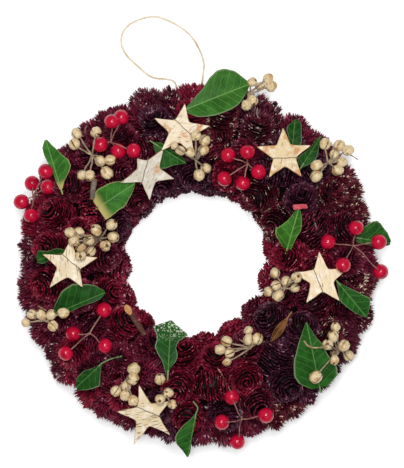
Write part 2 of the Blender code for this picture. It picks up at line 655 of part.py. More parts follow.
def build_clusters(cones):
    """Each stretch of glue with its cones, cut clear of the ring and of earlier clusters."""
    finish = material("cone_scales")
    for sector in range(CLUSTER_COUNT):
        own = [cone for cone in cones if cone.sector == sector]
        earlier = [k for k in ((sector - 1) % CLUSTER_COUNT, (sector + 1) % CLUSTER_COUNT) if k < sector]
        removed = [swept_section(ring_section(GAP), 0.0, 2 * math.pi, RING_SEGMENTS)]
        for other in earlier:
            removed.append(glue_bed(other, GAP))
            removed += [cone.mesh(GAP) for cone in cones
                        if cone.sector == other and any(near(cone, mine) for mine in own)]
        added = [glue_bed(sector)] + [cone.mesh() for cone in own]
        add_object(f"cone_cluster_{sector + 1:02d}", combine(added, removed), finish)


# ---------------------------------------------------------------- stars

def star_corners(turn, arms):
    """The outline of a hand-cut star, tip after notch."""
    corners = []
    for index, share in enumerate(arms):
        tip = math.radians(turn + 72 * index)
        notch = tip + math.radians(36)
        corners.append(Vector((math.cos(tip), math.sin(tip), 0)) * STAR_RADIUS * share)
        corners.append(Vector((math.cos(notch), math.sin(notch), 0)) * STAR_RADIUS * STAR_NOTCH)
    return corners


def star_wire(corners, notches):
    """Wire once round the star through two of its notches."""
    clear = GAP + WIRE_RADIUS
    near_side, far_side = (corners[2 * k + 1] for k in notches)
    out = (near_side - far_side).normalized() * clear * WIRE_STANDOFF
    top = Vector((0, 0, STAR_THICKNESS + clear))
    under = Vector((0, 0, -clear))
    half = Vector((0, 0, STAR_THICKNESS / 2))
    points = [near_side + out / 2 + top, far_side - out / 2 + top, far_side - out + half,
              far_side - out / 2 + under, near_side + out / 2 + under, near_side + out + half]
    return tube(points, WIRE_RADIUS, cyclic=True)


def lean_matrix(lean):
    """The turn that lays a flat piece on a plane with these slopes."""
    normal = Vector((-lean.x, -lean.y, 1.0)).normalized()
    return Vector((0, 0, 1)).rotation_difference(normal).to_matrix().to_4x4()


def build_star(number, pile):
    """One star and the wire round it."""
    centre, turn, arms = STARS[number]
    x, y = centre[0] * MM, centre[1] * MM
    corners = star_corners(turn, arms)
    bm = bmesh.new()
    face = bm.faces.new([bm.verts.new(corner) for corner in corners])
    top = bmesh.ops.extrude_face_region(bm, geom=[face])
    raised = [item for item in top["geom"] if isinstance(item, bmesh.types.BMVert)]
    bmesh.ops.translate(bm, verts=raised, vec=(0, 0, STAR_THICKNESS))
    star = mesh_from(bm)
    wire = star_wire(corners, STAR_WIRE_NOTCHES[number])
    place = Matrix.Translation((x, y, 0)) @ lean_matrix(pile.slopes(x, y, STAR_RADIUS, STAR_MAX_SLOPE))
    for mesh in (star, wire):
        mesh.transform(place)
    pile.rest([star, wire])
    for mesh in (star, wire):
        pile.add(mesh)
    add_object(f"birch_star_{number + 1}", star, material("birch_bark"))
    add_object(f"star_wire_{number + 1}", wire, material("iron_wire"))


# ---------------------------------------------------------------- leaves

def even_outline(fullest):
    """A plain leaf's half widths at even steps from base to tip, as shares of the greatest."""
    power = math.log(0.5) / math.log(fullest)
    steps = [k / LEAF_OUTLINE_STEPS for k in range(LEAF_OUTLINE_STEPS + 1)]
    return [max(LEAF_END_SHARE, math.sin(math.pi * step ** power)) ** LEAF_FULLNESS for step in steps]


def leaf_width(share, widths):
    """The half width of one side of a leaf along its length, as a share of half its width."""
    at = min(max(share, 0), 1) * (len(widths) - 1)
    low = min(int(at), len(widths) - 2)
    return max(LEAF_END_SHARE, widths[low] + (widths[low + 1] - widths[low]) * (at - low))


def leaf_mesh(base, tip, width, cup, arch, left, right, pile):
    """One leaf, dropped on the pile."""
    start = Vector((*base, 0)) * MM
    end = Vector((*tip, 0)) * MM
    along = end - start
    across = Vector((-along.y, along.x, 0)).normalized() * width * MM / 2
    middle = (start + end) / 2
    lean = pile.slopes(middle.x, middle.y, along.length / 2, LEAF_MAX_SLOPE)
    bm = bmesh.new()
    bmesh.ops.create_grid(bm, x_segments=LEAF_LENGTH_STEPS, y_segments=2, size=0.5)
    for vertex in bm.verts:
        u, v = vertex.co.x + 0.5, vertex.co.y * 2
        wide = abs(v) * leaf_width(u, left if v > 0 else right)
        spot = start + along * u + across * math.copysign(wide, v)
        rise = cup * wide * across.length
        rise -= arch * along.length * (2 * u - 1) ** 2
        offset = spot - middle
        vertex.co = spot + Vector((0, 0, rise + offset.x * lean.x + offset.y * lean.y))
    bmesh.ops.recalc_face_normals(bm, faces=bm.faces)
    shell = bmesh.ops.extrude_face_region(bm, geom=bm.faces[:])
    raised = [item for item in shell["geom"] if isinstance(item, bmesh.types.BMVert)]
    bmesh.ops.translate(bm, verts=raised, vec=(0, 0, LEAF_THICKNESS))
    mesh = mesh_from(bm)
    pile.rest([mesh])
    pile.add(mesh)
    return mesh


def build_leaf(number, pile):
    """One salal leaf."""
    finish = material("salal_leaf")
    add_object(f"salal_leaf_{number + 1:02d}", leaf_mesh(*LEAVES[number], pile), finish)


# ---------------------------------------------------------------- sprigs

def stem_points(node, berry, berry_radius, radius, pile):
    """A stem from the node to a berry, arched until it clears the pile, or None."""
    arch = STEM_ARCH_STEP
    while arch <= STEM_MAX_ARCH:
        shares = [k / STEM_PIECES for k in range(STEM_PIECES + 1)]
        path = [node.lerp(berry, s) + Vector((0, 0, 4 * arch * s * (1 - s))) for s in shares]
        fine = [p.lerp(q, k / STEM_SAMPLES) for p, q in zip(path, path[1:]) for k in range(STEM_SAMPLES)]
        lows = [(point, pile.ball_height(point.x, point.y, radius, STEM_PLACES)) for point in fine
                if (point - berry).length > berry_radius]
        if all(low is None or point.z > low + STEM_CLEARANCE for point, low in lows):
            return path
        arch += STEM_ARCH_STEP
    return None


def build_sprig(name, node, berries, stem_radius, sides, finish, pile):
    """Berries or nuts and the stems that join them, one solid."""
    x, y = node[0] * MM, node[1] * MM
    knob = 2 * stem_radius
    joint = Vector((x, y, max(SPRIG_LEVEL, pile.settle(x, y, knob) + 1 * MM)))
    centres = []
    for bx, by, radius in berries:
        high = pile.ball_height(bx * MM, by * MM, radius)
        floor = joint.z - BERRY_MAX_DROP
        centres.append(Vector((bx * MM, by * MM, floor if high is None else max(high, floor))))
    stems = [None]
    while None in stems:
        stems = [stem_points(joint, centre, berry[2], stem_radius, pile)
                 for centre, berry in zip(centres, berries)]
        joint.z += STEM_ARCH_STEP if None in stems else 0.0
    shapes = [ball(joint, knob, 6, 3, JOINT_TURN)]
    for index, (centre, berry, stem) in enumerate(zip(centres, berries, stems)):
        shapes.append(ball(centre, berry[2], sides, sides // 2, BERRY_TURN * (index + 1)))
        shapes.append(tube(stem, stem_radius))
    mesh = combine(shapes)
    pile.add(mesh)
    add_object(name, mesh, finish)


def build_red_sprig(number, pile):
    """One sprig of lacquered berries."""
    node, places = RED_SPRIGS[number]
    berries = [(bx, by, RED_BERRY_RADIUS) for bx, by in places]
    build_sprig(f"red_berry_sprig_{number + 1}", node, berries, RED_STEM_RADIUS, 8,
                material("red_lacquer"), pile)


def build_nut_sprig(number, pile):
    """One sprig of tallow nuts."""
    node, places = NUT_SPRIGS[number]
    nuts = [(bx, by, radius * MM) for bx, by, radius in places]
    build_sprig(f"nut_sprig_{number + 1:02d}", node, nuts, NUT_STEM_RADIUS, 6,
                material("tallow_nut"), pile)


# ---------------------------------------------------------------- twigs, chip and twine

def build_bits(pile):
    """The loose bits of twig, dry leaf and dyed bark."""
    for name, (start, end, radius) in TWIGS.items():
        first = Vector((*start, 0)) * MM
        last = Vector((*end, 0)) * MM
        bm = bmesh.new()
        middle = (first + last) / 2
        lean = pile.slopes(middle.x, middle.y, (last - first).length / 2, STAR_MAX_SLOPE)
        along = last - first
        along.z = along.x * lean.x + along.y * lean.y
        place = Matrix.Translation(middle) @ along.to_track_quat("Z", "Y").to_matrix().to_4x4()
        bmesh.ops.create_cone(bm, cap_ends=True, segments=8, radius1=radius * MM,
                              radius2=radius * TWIG_TAPER * MM, depth=along.length, matrix=place)
        mesh = mesh_from(bm)
        pile.rest([mesh])
        pile.add(mesh)
        add_object(name, mesh, material("twig_bark"))
    outline = even_outline(DRY_LEAF_FULLEST)
    add_object("dry_leaf", leaf_mesh(*DRY_LEAF, outline, outline, pile), material("dry_leaf"))
    spot, sizes, turn = BARK_CHIP
    bm = bmesh.new()
    bmesh.ops.create_cube(bm, size=1.0)
    bmesh.ops.scale(bm, verts=bm.verts, vec=[size * MM for size in sizes])
    chip = mesh_from(bm)
    x, y = spot[0] * MM, spot[1] * MM
    lean = lean_matrix(pile.slopes(x, y, sizes[0] * MM, STAR_MAX_SLOPE))
    chip.transform(Matrix.Translation((x, y, 0)) @ lean @ Matrix.Rotation(math.radians(turn), 4, "Z"))
    pile.rest([chip])
    pile.add(chip)
    add_object("bark_chip", chip, material("dyed_bark"))


def smooth_route(points, step):
    """Even points along a smooth curve through the route's own points."""
    ends = [points[0] * 2 - points[1], *points, points[-1] * 2 - points[-2]]
    fine = []
    for a, b, c, d in zip(ends, ends[1:], ends[2:], ends[3:]):
        for k in range(ROUTE_FINENESS):
            t = k / ROUTE_FINENESS
            fine.append((b * 2 + (c - a) * t + (a * 2 - b * 5 + c * 4 - d) * t ** 2
                         + (b * 3 - a - c * 3 + d) * t ** 3) / 2)
    fine.append(points[-1])
    total = sum((q - p).length for p, q in zip(fine, fine[1:]))
    count = round(total / step)
    even, walked, target = [fine[0]], 0.0, total / count
    for p, q in zip(fine, fine[1:]):
        piece = (q - p).length
        while walked + piece >= target - NEAR_ZERO and len(even) < count:
            even.append(p.lerp(q, (target - walked) / piece))
            target += total / count
        walked += piece
    even.append(fine[-1])
    return even


def build_twine():
    """The hanging loop, a plain tube."""
    route = smooth_route([Vector(point) * MM for point in TWINE_ROUTE], TWINE_POINT_STEP)
    curve = bpy.data.curves.new("hanging_twine", "CURVE")
    curve.dimensions = "3D"
    curve.bevel_depth = TWINE_RADIUS
    curve.bevel_resolution = 2
    curve.use_fill_caps = True
    spline = curve.splines.new("POLY")
    spline.points.add(len(route) - 1)
    for place, point in zip(spline.points, route):
        place.co = (*point, 1.0)
    curve.materials.append(material("jute"))
    made = bpy.data.objects.new("hanging_twine", curve)
    bpy.context.scene.collection.objects.link(made)


def shift_to_box_centre():
    """Moves every piece so that the wreath without its twine is centred on the origin."""
    corners = [vertex.co for item in bpy.data.objects if item.type == "MESH"
               for vertex in item.data.vertices]
    middle = [(min(c[k] for c in corners) + max(c[k] for c in corners)) / 2 for k in range(2)]
    for item in bpy.data.objects:
        item.location = (-middle[0], -middle[1], 0)


def main():
    """Builds the wreath from the ring outward, each layer resting on the last."""
    clear_scene()
    cones = cone_layout()
    build_ring()
    build_clusters(cones)
    pile = Pile()
    pile.add(*[cone.mesh() for cone in cones])
    for number in (1, 2, 3, 4, 6, 7, 8, 9, 10, 11, 12, 13, 14):
        build_leaf(number, pile)
    build_leaf(0, pile)
    for number in (2, 0, 1, 3, 4, 5):
        build_star(number, pile)
    build_leaf(5, pile)
    build_bits(pile)
    for number in range(len(RED_SPRIGS)):
        build_red_sprig(number, pile)
    for number in range(len(NUT_SPRIGS)):
        build_nut_sprig(number, pile)
    build_twine()
    shift_to_box_centre()


if __name__ == "__main__":
    main()
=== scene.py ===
"""Looks of the pinecone wreath: every cone, star, leaf, berry, nut and twig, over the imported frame.

Each sub-assembly is a class that holds its sizes, builds its pieces and dresses them. Plan places repeat
those of the CAD source, about the centre of the willow ring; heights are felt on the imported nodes.
Lengths are metres, and values called millimetres are multiplied by MM where they are used.
"""

import enum
import logging
import math
import random
from dataclasses import dataclass
from functools import partial
from typing import Iterable, Optional, Sequence

import bmesh
import bpy
from mathutils import Matrix, Vector, noise
from mathutils.bvhtree import BVHTree


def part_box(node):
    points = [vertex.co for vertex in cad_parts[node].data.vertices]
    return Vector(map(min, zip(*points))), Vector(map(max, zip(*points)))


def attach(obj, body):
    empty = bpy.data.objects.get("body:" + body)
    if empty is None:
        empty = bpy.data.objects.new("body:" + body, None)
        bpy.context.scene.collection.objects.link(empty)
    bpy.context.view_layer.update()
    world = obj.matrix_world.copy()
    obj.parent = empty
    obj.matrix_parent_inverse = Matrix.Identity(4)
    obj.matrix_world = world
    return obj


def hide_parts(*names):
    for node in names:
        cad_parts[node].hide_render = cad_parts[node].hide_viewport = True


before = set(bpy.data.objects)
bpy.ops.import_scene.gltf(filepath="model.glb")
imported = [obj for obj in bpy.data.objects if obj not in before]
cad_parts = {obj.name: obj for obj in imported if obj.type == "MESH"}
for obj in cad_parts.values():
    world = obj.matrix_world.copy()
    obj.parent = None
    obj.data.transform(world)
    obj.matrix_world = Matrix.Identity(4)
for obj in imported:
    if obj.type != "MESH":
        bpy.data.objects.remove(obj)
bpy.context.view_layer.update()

MM = 0.001
RING_LOW, RING_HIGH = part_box("base_ring")
CENTRE = (RING_LOW + RING_HIGH) / 2
CENTRE.z = 0.0
NOISE_SEED = 7                  # keeps every lump and waver the same from run to run
LOG = logging.getLogger("wreath")


# ---------------------------------------------------------------- small helpers

def linear(code: str) -> tuple[float, float, float, float]:
    """Turns an sRGB hex colour into the linear values that shaders use.

    Args:
        code: The colour as "#rrggbb".

    Returns:
        Linear red, green, blue and an alpha of 1.
    """
    shares = [int(code[k:k + 2], 16) / 255 for k in (1, 3, 5)]
    values = [c / 12.92 if c <= 0.04045 else ((c + 0.055) / 1.055) ** 2.4 for c in shares]
    return (values[0], values[1], values[2], 1.0)


def per(size_mm: float) -> float:
    """Returns the texture scale at which one feature measures this many millimetres."""
    return 1.0 / (size_mm * MM)


def add_node(tree: bpy.types.NodeTree, kind: str, inputs: object = (), output: object = 0,
             stops: Sequence[tuple[float, str]] = (), **settings: object) -> bpy.types.NodeSocket:
    """Adds a node with its settings, its socket values and its links.

    Args:
        tree: The material's node tree.
        kind: The node's type without "ShaderNode".
        inputs: Values by socket name or number, or in the sockets' order. A value is a number, a vector,
            a hex colour or the socket that feeds the input.
        output: The name or number of the output to return.
        stops: For a colour ramp, the place and the hex colour of each stop.
        **settings: Attributes of the node itself.

    Returns:
        The chosen output socket.
    """
    node = tree.nodes.new("ShaderNode" + kind)
    for name, value in settings.items():
        setattr(node, name, value)
    pairs = inputs.items() if isinstance(inputs, dict) else enumerate(inputs)
    for key, value in pairs:
        if isinstance(value, bpy.types.NodeSocket):
            tree.links.new(value, node.inputs[key])
        else:
            node.inputs[key].default_value = linear(value) if isinstance(value, str) else value
    for number, (place, code) in enumerate(stops):
        ramp = node.color_ramp.elements
        stop = ramp[number] if number < len(ramp) else ramp.new(place)
        stop.position = place
        stop.color = linear(code)
    return node.outputs[output]


def smooth_route(points: Sequence[Vector], step: float) -> list[Vector]:
    """Spaces points evenly along a smooth curve through a route.

    Args:
        points: The route's own points.
        step: The wanted distance between the points returned.

    Returns:
        Points on the curve, the route's two ends among them.
    """
    fineness = 20
    ends = [points[0] * 2 - points[1], *points, points[-1] * 2 - points[-2]]
    fine = []
    for a, b, c, d in zip(ends, ends[1:], ends[2:], ends[3:]):
        for k in range(fineness):
            t = k / fineness
            fine.append((b * 2 + (c - a) * t + (a * 2 - b * 5 + c * 4 - d) * t ** 2
                         + (b * 3 - a - c * 3 + d) * t ** 3) / 2)
    fine.append(points[-1])
    total = sum((q - p).length for p, q in zip(fine, fine[1:]))
    count = max(2, round(total / step))
    even, walked, target = [fine[0]], 0.0, total / count
    for p, q in zip(fine, fine[1:]):
        piece = (q - p).length
        while walked + piece >= target - 1e-9 and len(even) < count:
            even.append(p.lerp(q, (target - walked) / piece))
            target += total / count
        walked += piece
    even.append(fine[-1])
    return even


def rod(points: Sequence[Vector], radii: Sequence[float], sides: int = 8,
        closed: bool = False) -> bpy.types.Mesh:
    """Sweeps a round section along points.

    Args:
        points: The centre line.
        radii: The section's radius at each point.
        sides: The section's corners, an even number from 4.
        closed: Whether the last point joins the first.

    Returns:
        A closed mesh with merged doubles.
    """
    curve = bpy.data.curves.new("rod", "CURVE")
    curve.dimensions = "3D"
    curve.bevel_depth = 1.0
    curve.bevel_resolution = (sides - 4) // 2
    curve.use_fill_caps = not closed
    spline = curve.splines.new("POLY")
    spline.points.add(len(points) - 1)
    for place, point, radius in zip(spline.points, points, radii):
        place.co = (*point, 1.0)
        place.radius = radius
    spline.use_cyclic_u = closed
    helper = bpy.data.objects.new("rod", curve)
    bpy.context.scene.collection.objects.link(helper)
    graph = bpy.context.evaluated_depsgraph_get()
    mesh = bpy.data.meshes.new_from_object(helper.evaluated_get(graph))
    bpy.data.objects.remove(helper, do_unlink=True)
    bpy.data.curves.remove(curve)
    bm = bmesh.new()
    bm.from_mesh(mesh)
    bmesh.ops.remove_doubles(bm, verts=bm.verts, dist=0.005 * MM)
    bmesh.ops.recalc_face_normals(bm, faces=bm.faces)
    bm.to_mesh(mesh)
    bm.free()
    return mesh


def append(bm: bmesh.types.BMesh, mesh: bpy.types.Mesh, slot: int = 0) -> list[bmesh.types.BMVert]:
    """Adds a mesh to a bmesh and gives its faces one material slot.

    Args:
        bm: What the mesh is added to.
        mesh: The mesh, which is removed afterwards.
        slot: The number of the material slot.

    Returns:
        The vertices that were added.
    """
    had_verts, had_faces = len(bm.verts), len(bm.faces)
    bm.from_mesh(mesh)
    bm.verts.ensure_lookup_table()
    bm.faces.ensure_lookup_table()
    for face in bm.faces[had_faces:]:
        face.material_index = slot
    bpy.data.meshes.remove(mesh)
    return bm.verts[had_verts:]


def roughen(verts: Iterable[bmesh.types.BMVert], size_mm: float, depth_mm: float) -> None:
    """Moves vertices by smooth noise.

    Args:
        verts: The vertices to move.
        size_mm: The size of one lump.
        depth_mm: How far a lump may move a vertex.
    """
    for vert in verts:
        vert.co += noise.noise_vector(vert.co * per(size_mm)) * depth_mm * MM


def press_flat(verts: Iterable[bmesh.types.BMVert]) -> None:
    """Squeezes what reaches below the table onto it, without folding any face to nothing."""
    skin, least, squeeze = 0.3 * MM, 0.02 * MM, 0.1
    for vert in verts:
        if vert.co.z < skin:
            vert.co.z = max(least, skin + (vert.co.z - skin) * squeeze)


def press_under(verts: Iterable[bmesh.types.BMVert], cover: "Surface") -> None:
    """Presses what pokes up through thin pieces that lie on it down to their underside.

    Args:
        verts: The vertices of what lies below.
        cover: The thin pieces.
    """
    depth, reach = 1.3 * MM, 5.0 * MM
    for vert in verts:
        top = cover.top(vert.co.x, vert.co.y)
        if top is not None and top - depth < vert.co.z < top + reach:
            vert.co.z = top - depth


def add_piece(name: str, bm: bmesh.types.BMesh, finishes: Sequence["Finish"],
              nodes: Sequence[str] = (), crease: Optional[float] = 40.0) -> bpy.types.Object:
    """Turns a bmesh into a finished piece that rides on the wreath.

    Args:
        name: The piece's name.
        bm: Its shape in the wreath's frame, which is freed.
        finishes: One finish for each material slot.
        nodes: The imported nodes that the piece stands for.
        crease: The angle in degrees past which an edge stays sharp, or None for flat faces.

    Returns:
        The piece's object.
    """
    bmesh.ops.recalc_face_normals(bm, faces=bm.faces)
    mesh = bpy.data.meshes.new(name)
    bm.to_mesh(mesh)
    bm.free()
    if crease is not None:
        mesh.shade_smooth()
        mesh.set_sharp_from_angle(angle=math.radians(crease))
    for finish in finishes:
        mesh.materials.append(finish.material())
    piece = bpy.data.objects.new(name, mesh)
    bpy.context.scene.collection.objects.link(piece)
    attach(piece, "root")
    if nodes:
        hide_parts(*nodes)
    return piece


class Surface:
    """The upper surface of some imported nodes."""

    def __init__(self, names: Sequence[str]) -> None:
        """Reads the nodes' meshes.

        Args:
            names: The nodes' names.
        """
        self.trees = []
        for name in names:
            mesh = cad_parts[name].data
            corners = [vertex.co.copy() for vertex in mesh.vertices]
            faces = [tuple(face.vertices) for face in mesh.polygons]
            self.trees.append(BVHTree.FromPolygons(corners, faces))

    def top(self, x: float, y: float) -> Optional[float]:
        """Returns the height at one place, or None beside the nodes."""
        hits = [tree.ray_cast(Vector((x, y, 1.0)), Vector((0, 0, -1)))[0] for tree in self.trees]
        heights = [hit.z for hit in hits if hit is not None]
        return max(heights) if heights else None

    def normal(self, x: float, y: float) -> Vector:
        """Returns the outward direction at one place on the nodes."""
        found = [tree.ray_cast(Vector((x, y, 1.0)), Vector((0, 0, -1))) for tree in self.trees]
        hits = [hit for hit in found if hit[0] is not None]
        best = max(hits, key=lambda hit: hit[0].z)[1].normalized()
        return best if best.z > 0 else -best


def plan(x_mm: float, y_mm: float, z: float = 0.0) -> Vector:
    """Returns a place given in millimetres about the ring's centre, at a height in metres."""
    return Vector((CENTRE.x + x_mm * MM, CENTRE.y + y_mm * MM, z))


# ---------------------------------------------------------------- finishes

class Painter:
    """Adds a material's nodes, with short calls for the kinds that every surface repeats."""

    def __init__(self, tree: bpy.types.NodeTree) -> None:
        """Binds the node tree.

        Args:
            tree: The material's node tree, which add() then adds to.
        """
        self.add = partial(add_node, tree)

    def noise(self, place: bpy.types.NodeSocket, size_mm: float, detail: float = 2.0,
              rough: float = 0.5) -> bpy.types.NodeSocket:
        """Adds smooth noise.

        Args:
            place: Where the noise is felt.
            size_mm: How far across one of its features is.
            detail: How many finer layers it has.
            rough: How strong each finer layer is.

        Returns:
            The noise, mostly from 0.3 to 0.7.
        """
        inputs = {"Vector": place, "Scale": per(size_mm), "Detail": detail, "Roughness": rough}
        return self.add("TexNoise", inputs, "Fac")

    def attribute(self, name: str, output: str) -> bpy.types.NodeSocket:
        """Returns one output, such as "Fac" or "Vector", of a value that the mesh carries."""
        return self.add("Attribute", output=output, attribute_name=name)

    def math(self, operation: str, *values: object) -> bpy.types.NodeSocket:
        """Returns the result of one step of arithmetic on numbers or sockets."""
        return self.add("Math", values, operation=operation)

    def span(self, *values: object) -> bpy.types.NodeSocket:
        """Maps a value to another range, and keeps it in that range.

        Args:
            *values: The value, its lowest and its highest, then what those two become, if not 0 and 1.

        Returns:
            The mapped value.
        """
        return self.add("MapRange", values)

    def smooth(self, *values: object) -> bpy.types.NodeSocket:
        """Returns a value mapped as span does, but eased in and out."""
        return self.add("MapRange", values, interpolation_type="SMOOTHSTEP")

    def mix(self, share: object, under: object, over: object) -> bpy.types.NodeSocket:
        """Returns a colour mixed from two by the share of the one laid over."""
        return self.add("Mix", {0: share, 6: under, 7: over}, 2, data_type="RGBA")


@dataclass(frozen=True)
class Finish:
    """A named material with one Principled shader, which each kind of surface paints its own way."""

    name: str

    def material(self) -> bpy.types.Material:
        """Returns the material, made the first time it is asked for."""
        made = bpy.data.materials.get(self.name)
        if made is None:
            made = bpy.data.materials.new(self.name)
            made.use_nodes = True
            self.paint(made.node_tree, made.node_tree.nodes["Principled BSDF"])
        return made

    def paint(self, tree: bpy.types.NodeTree, shader: bpy.types.Node) -> None:
        """Adds the nodes of this surface.

        Args:
            tree: The material's node tree.
            shader: Its Principled shader.
        """
        raise NotImplementedError

    def dress(self, tree: bpy.types.NodeTree, shader: bpy.types.Node, colour: bpy.types.NodeSocket,
              rough: object, height: bpy.types.NodeSocket, depth_mm: float, shine: float = 0.5) -> None:
        """Joins colour, roughness and relief to the shader.

        Args:
            tree: The material's node tree.
            shader: Its Principled shader.
            colour: The base colour.
            rough: The roughness, a value or what feeds it.
            height: The relief, from 0 to 1.
            depth_mm: The relief's real depth.
            shine: The specular level.
        """
        tree.links.new(colour, shader.inputs["Base Color"])
        if isinstance(rough, bpy.types.NodeSocket):
            tree.links.new(rough, shader.inputs["Roughness"])
        else:
            shader.inputs["Roughness"].default_value = rough
        shader.inputs["Specular IOR Level"].default_value = shine
        relief = add_node(tree, "Bump", {"Height": height, "Distance": depth_mm * MM}, "Normal")
        tree.links.new(relief, shader.inputs["Normal"])


@dataclass(frozen=True)
class ConeScaleFinish(Finish):
    """Woody cone scales dipped in dye: near black deep inside in painted shade, satin and brighter towards
    the tips from wear and a painted highlight.
    """

    # The deepest colour is painted shade; the third is wear with a painted highlight
    deep: str
    dye: str
    wear_and_highlight: str
    tip: str = "#d9a9ab"
    bare: float = 0.08              # share of the tips that show bare or frosted wood

    def paint(self, tree: bpy.types.NodeTree, shader: bpy.types.Node) -> None:
        """Paints from the root of each scale, in painted shade, to its rubbed tip with a painted highlight,
        with uneven dye and specks of resin.
        """
        nodes = Painter(tree)
        place = nodes.add("TexCoord", output="Object")
        # The first stop is painted shade on the core and on the scales' roots between the rows; the last is
        # wear with a painted highlight on the tips
        along = nodes.attribute("tip", "Fac")
        stops = ((0.28, self.deep), (0.62, self.dye), (0.97, self.wear_and_highlight))
        base = nodes.add("ValToRGB", [along], "Color", stops)
        # Dye takes unevenly over a few scales at a time
        uneven = nodes.noise(place, 8)
        patch = nodes.smooth(uneven, 0.34, 0.66)
        toned = nodes.mix(patch, self.deep, base)
        toned = nodes.mix(0.45, base, toned)
        # One cell is one scale's tip: some have rubbed bare or caught resin, which glints
        cells = nodes.add("TexVoronoi", {"Vector": place, "Scale": per(2.6)}, "Color")
        drawn = nodes.add("SeparateColor", [cells], "Red")
        shade = nodes.span(drawn, 0.0, 1.0, 0.5, 1.5)
        toned = nodes.add("VectorMath", {0: toned, 3: shade}, "Vector", operation="SCALE")
        # Bare tips come in small groups
        group = nodes.noise(place, 7)
        group = nodes.span(group, 0.35, 0.65, -0.25, 0.12)
        lucky = nodes.math("ADD", drawn, group)
        chosen = nodes.math("GREATER_THAN", lucky, 1.0 - self.bare)
        ends = nodes.span(along, 0.62, 0.9)
        glint = nodes.math("MULTIPLY", chosen, ends)
        colour = nodes.mix(glint, toned, self.tip)
        fine = nodes.noise(place, 0.7)
        gloss = nodes.span(fine, 0.3, 0.7, 0.36, 0.6)
        self.dress(tree, shader, colour, gloss, fine, 0.12, 0.22)


@dataclass(frozen=True)
class BarkFinish(Finish):
    """Peeled birch bark: chalky cream, dry, with fine grain, thin dark lenticels and tan blushes."""

    cream: str = "#eaddc4"
    shade: str = "#c6a97c"
    chalk: str = "#f2eadb"
    blush: str = "#c0834c"
    mark: str = "#43301f"
    cut: str = "#a37a50"
    blushed: float = 0.3
    marked: float = 0.3             # how many dark dashes there are

    def paint(self, tree: bpy.types.NodeTree, shader: bpy.types.Node) -> None:
        """Paints along the bark's own grain, which the flat attribute holds."""
        nodes = Painter(tree)
        flat = nodes.attribute("flat", "Vector")
        rim = nodes.attribute("rim", "Fac")
        drawn_out = nodes.add("Mapping", {"Vector": flat, "Scale": (0.12, 1.0, 1.0)})
        fibres = nodes.noise(drawn_out, 0.9, 4.0)
        cloud = nodes.noise(flat, 16, 3.0)
        aged = nodes.smooth(cloud, 0.42, 0.7, 0.0, 0.5)
        streak = nodes.span(fibres, 0.4, 0.72, 0.0, 0.75)
        tone = nodes.math("MAXIMUM", aged, streak)
        base = nodes.mix(tone, self.cream, self.shade)
        pale = nodes.noise(flat, 7, 3.0)
        pale = nodes.span(pale, 0.52, 0.66, 0.0, 0.7)
        base = nodes.mix(pale, base, self.chalk)
        # Inner bark shows through in rusty patches
        patch = nodes.noise(flat, 10, 4.0, 0.6)
        edge = 0.7 - self.blushed * 0.4
        rust = nodes.smooth(patch, edge, edge + 0.12, 0.0, 0.8)
        base = nodes.mix(rust, base, self.blush)
        # Lenticels are dashes up to 10 mm long and under 1 mm high across the trunk
        dashed = nodes.add("Mapping", {"Vector": flat, "Scale": (0.1, 1.0, 1.0)})
        dashes = nodes.noise(dashed, 0.75, 0.5)
        least = 0.76 - self.marked * 0.15
        dark = nodes.span(dashes, least, least + 0.05, 0.0, 0.85)
        marked = nodes.mix(dark, base, self.mark)
        sawn = nodes.math("MULTIPLY_ADD", cloud, 0.8, rim)
        sawn = nodes.span(sawn, 0.9, 1.45, 0.0, 0.85)
        colour = nodes.mix(sawn, marked, self.cut)
        relief = nodes.math("SUBTRACT", fibres, dark)
        self.dress(tree, shader, colour, 0.7, relief, 0.3, 0.3)


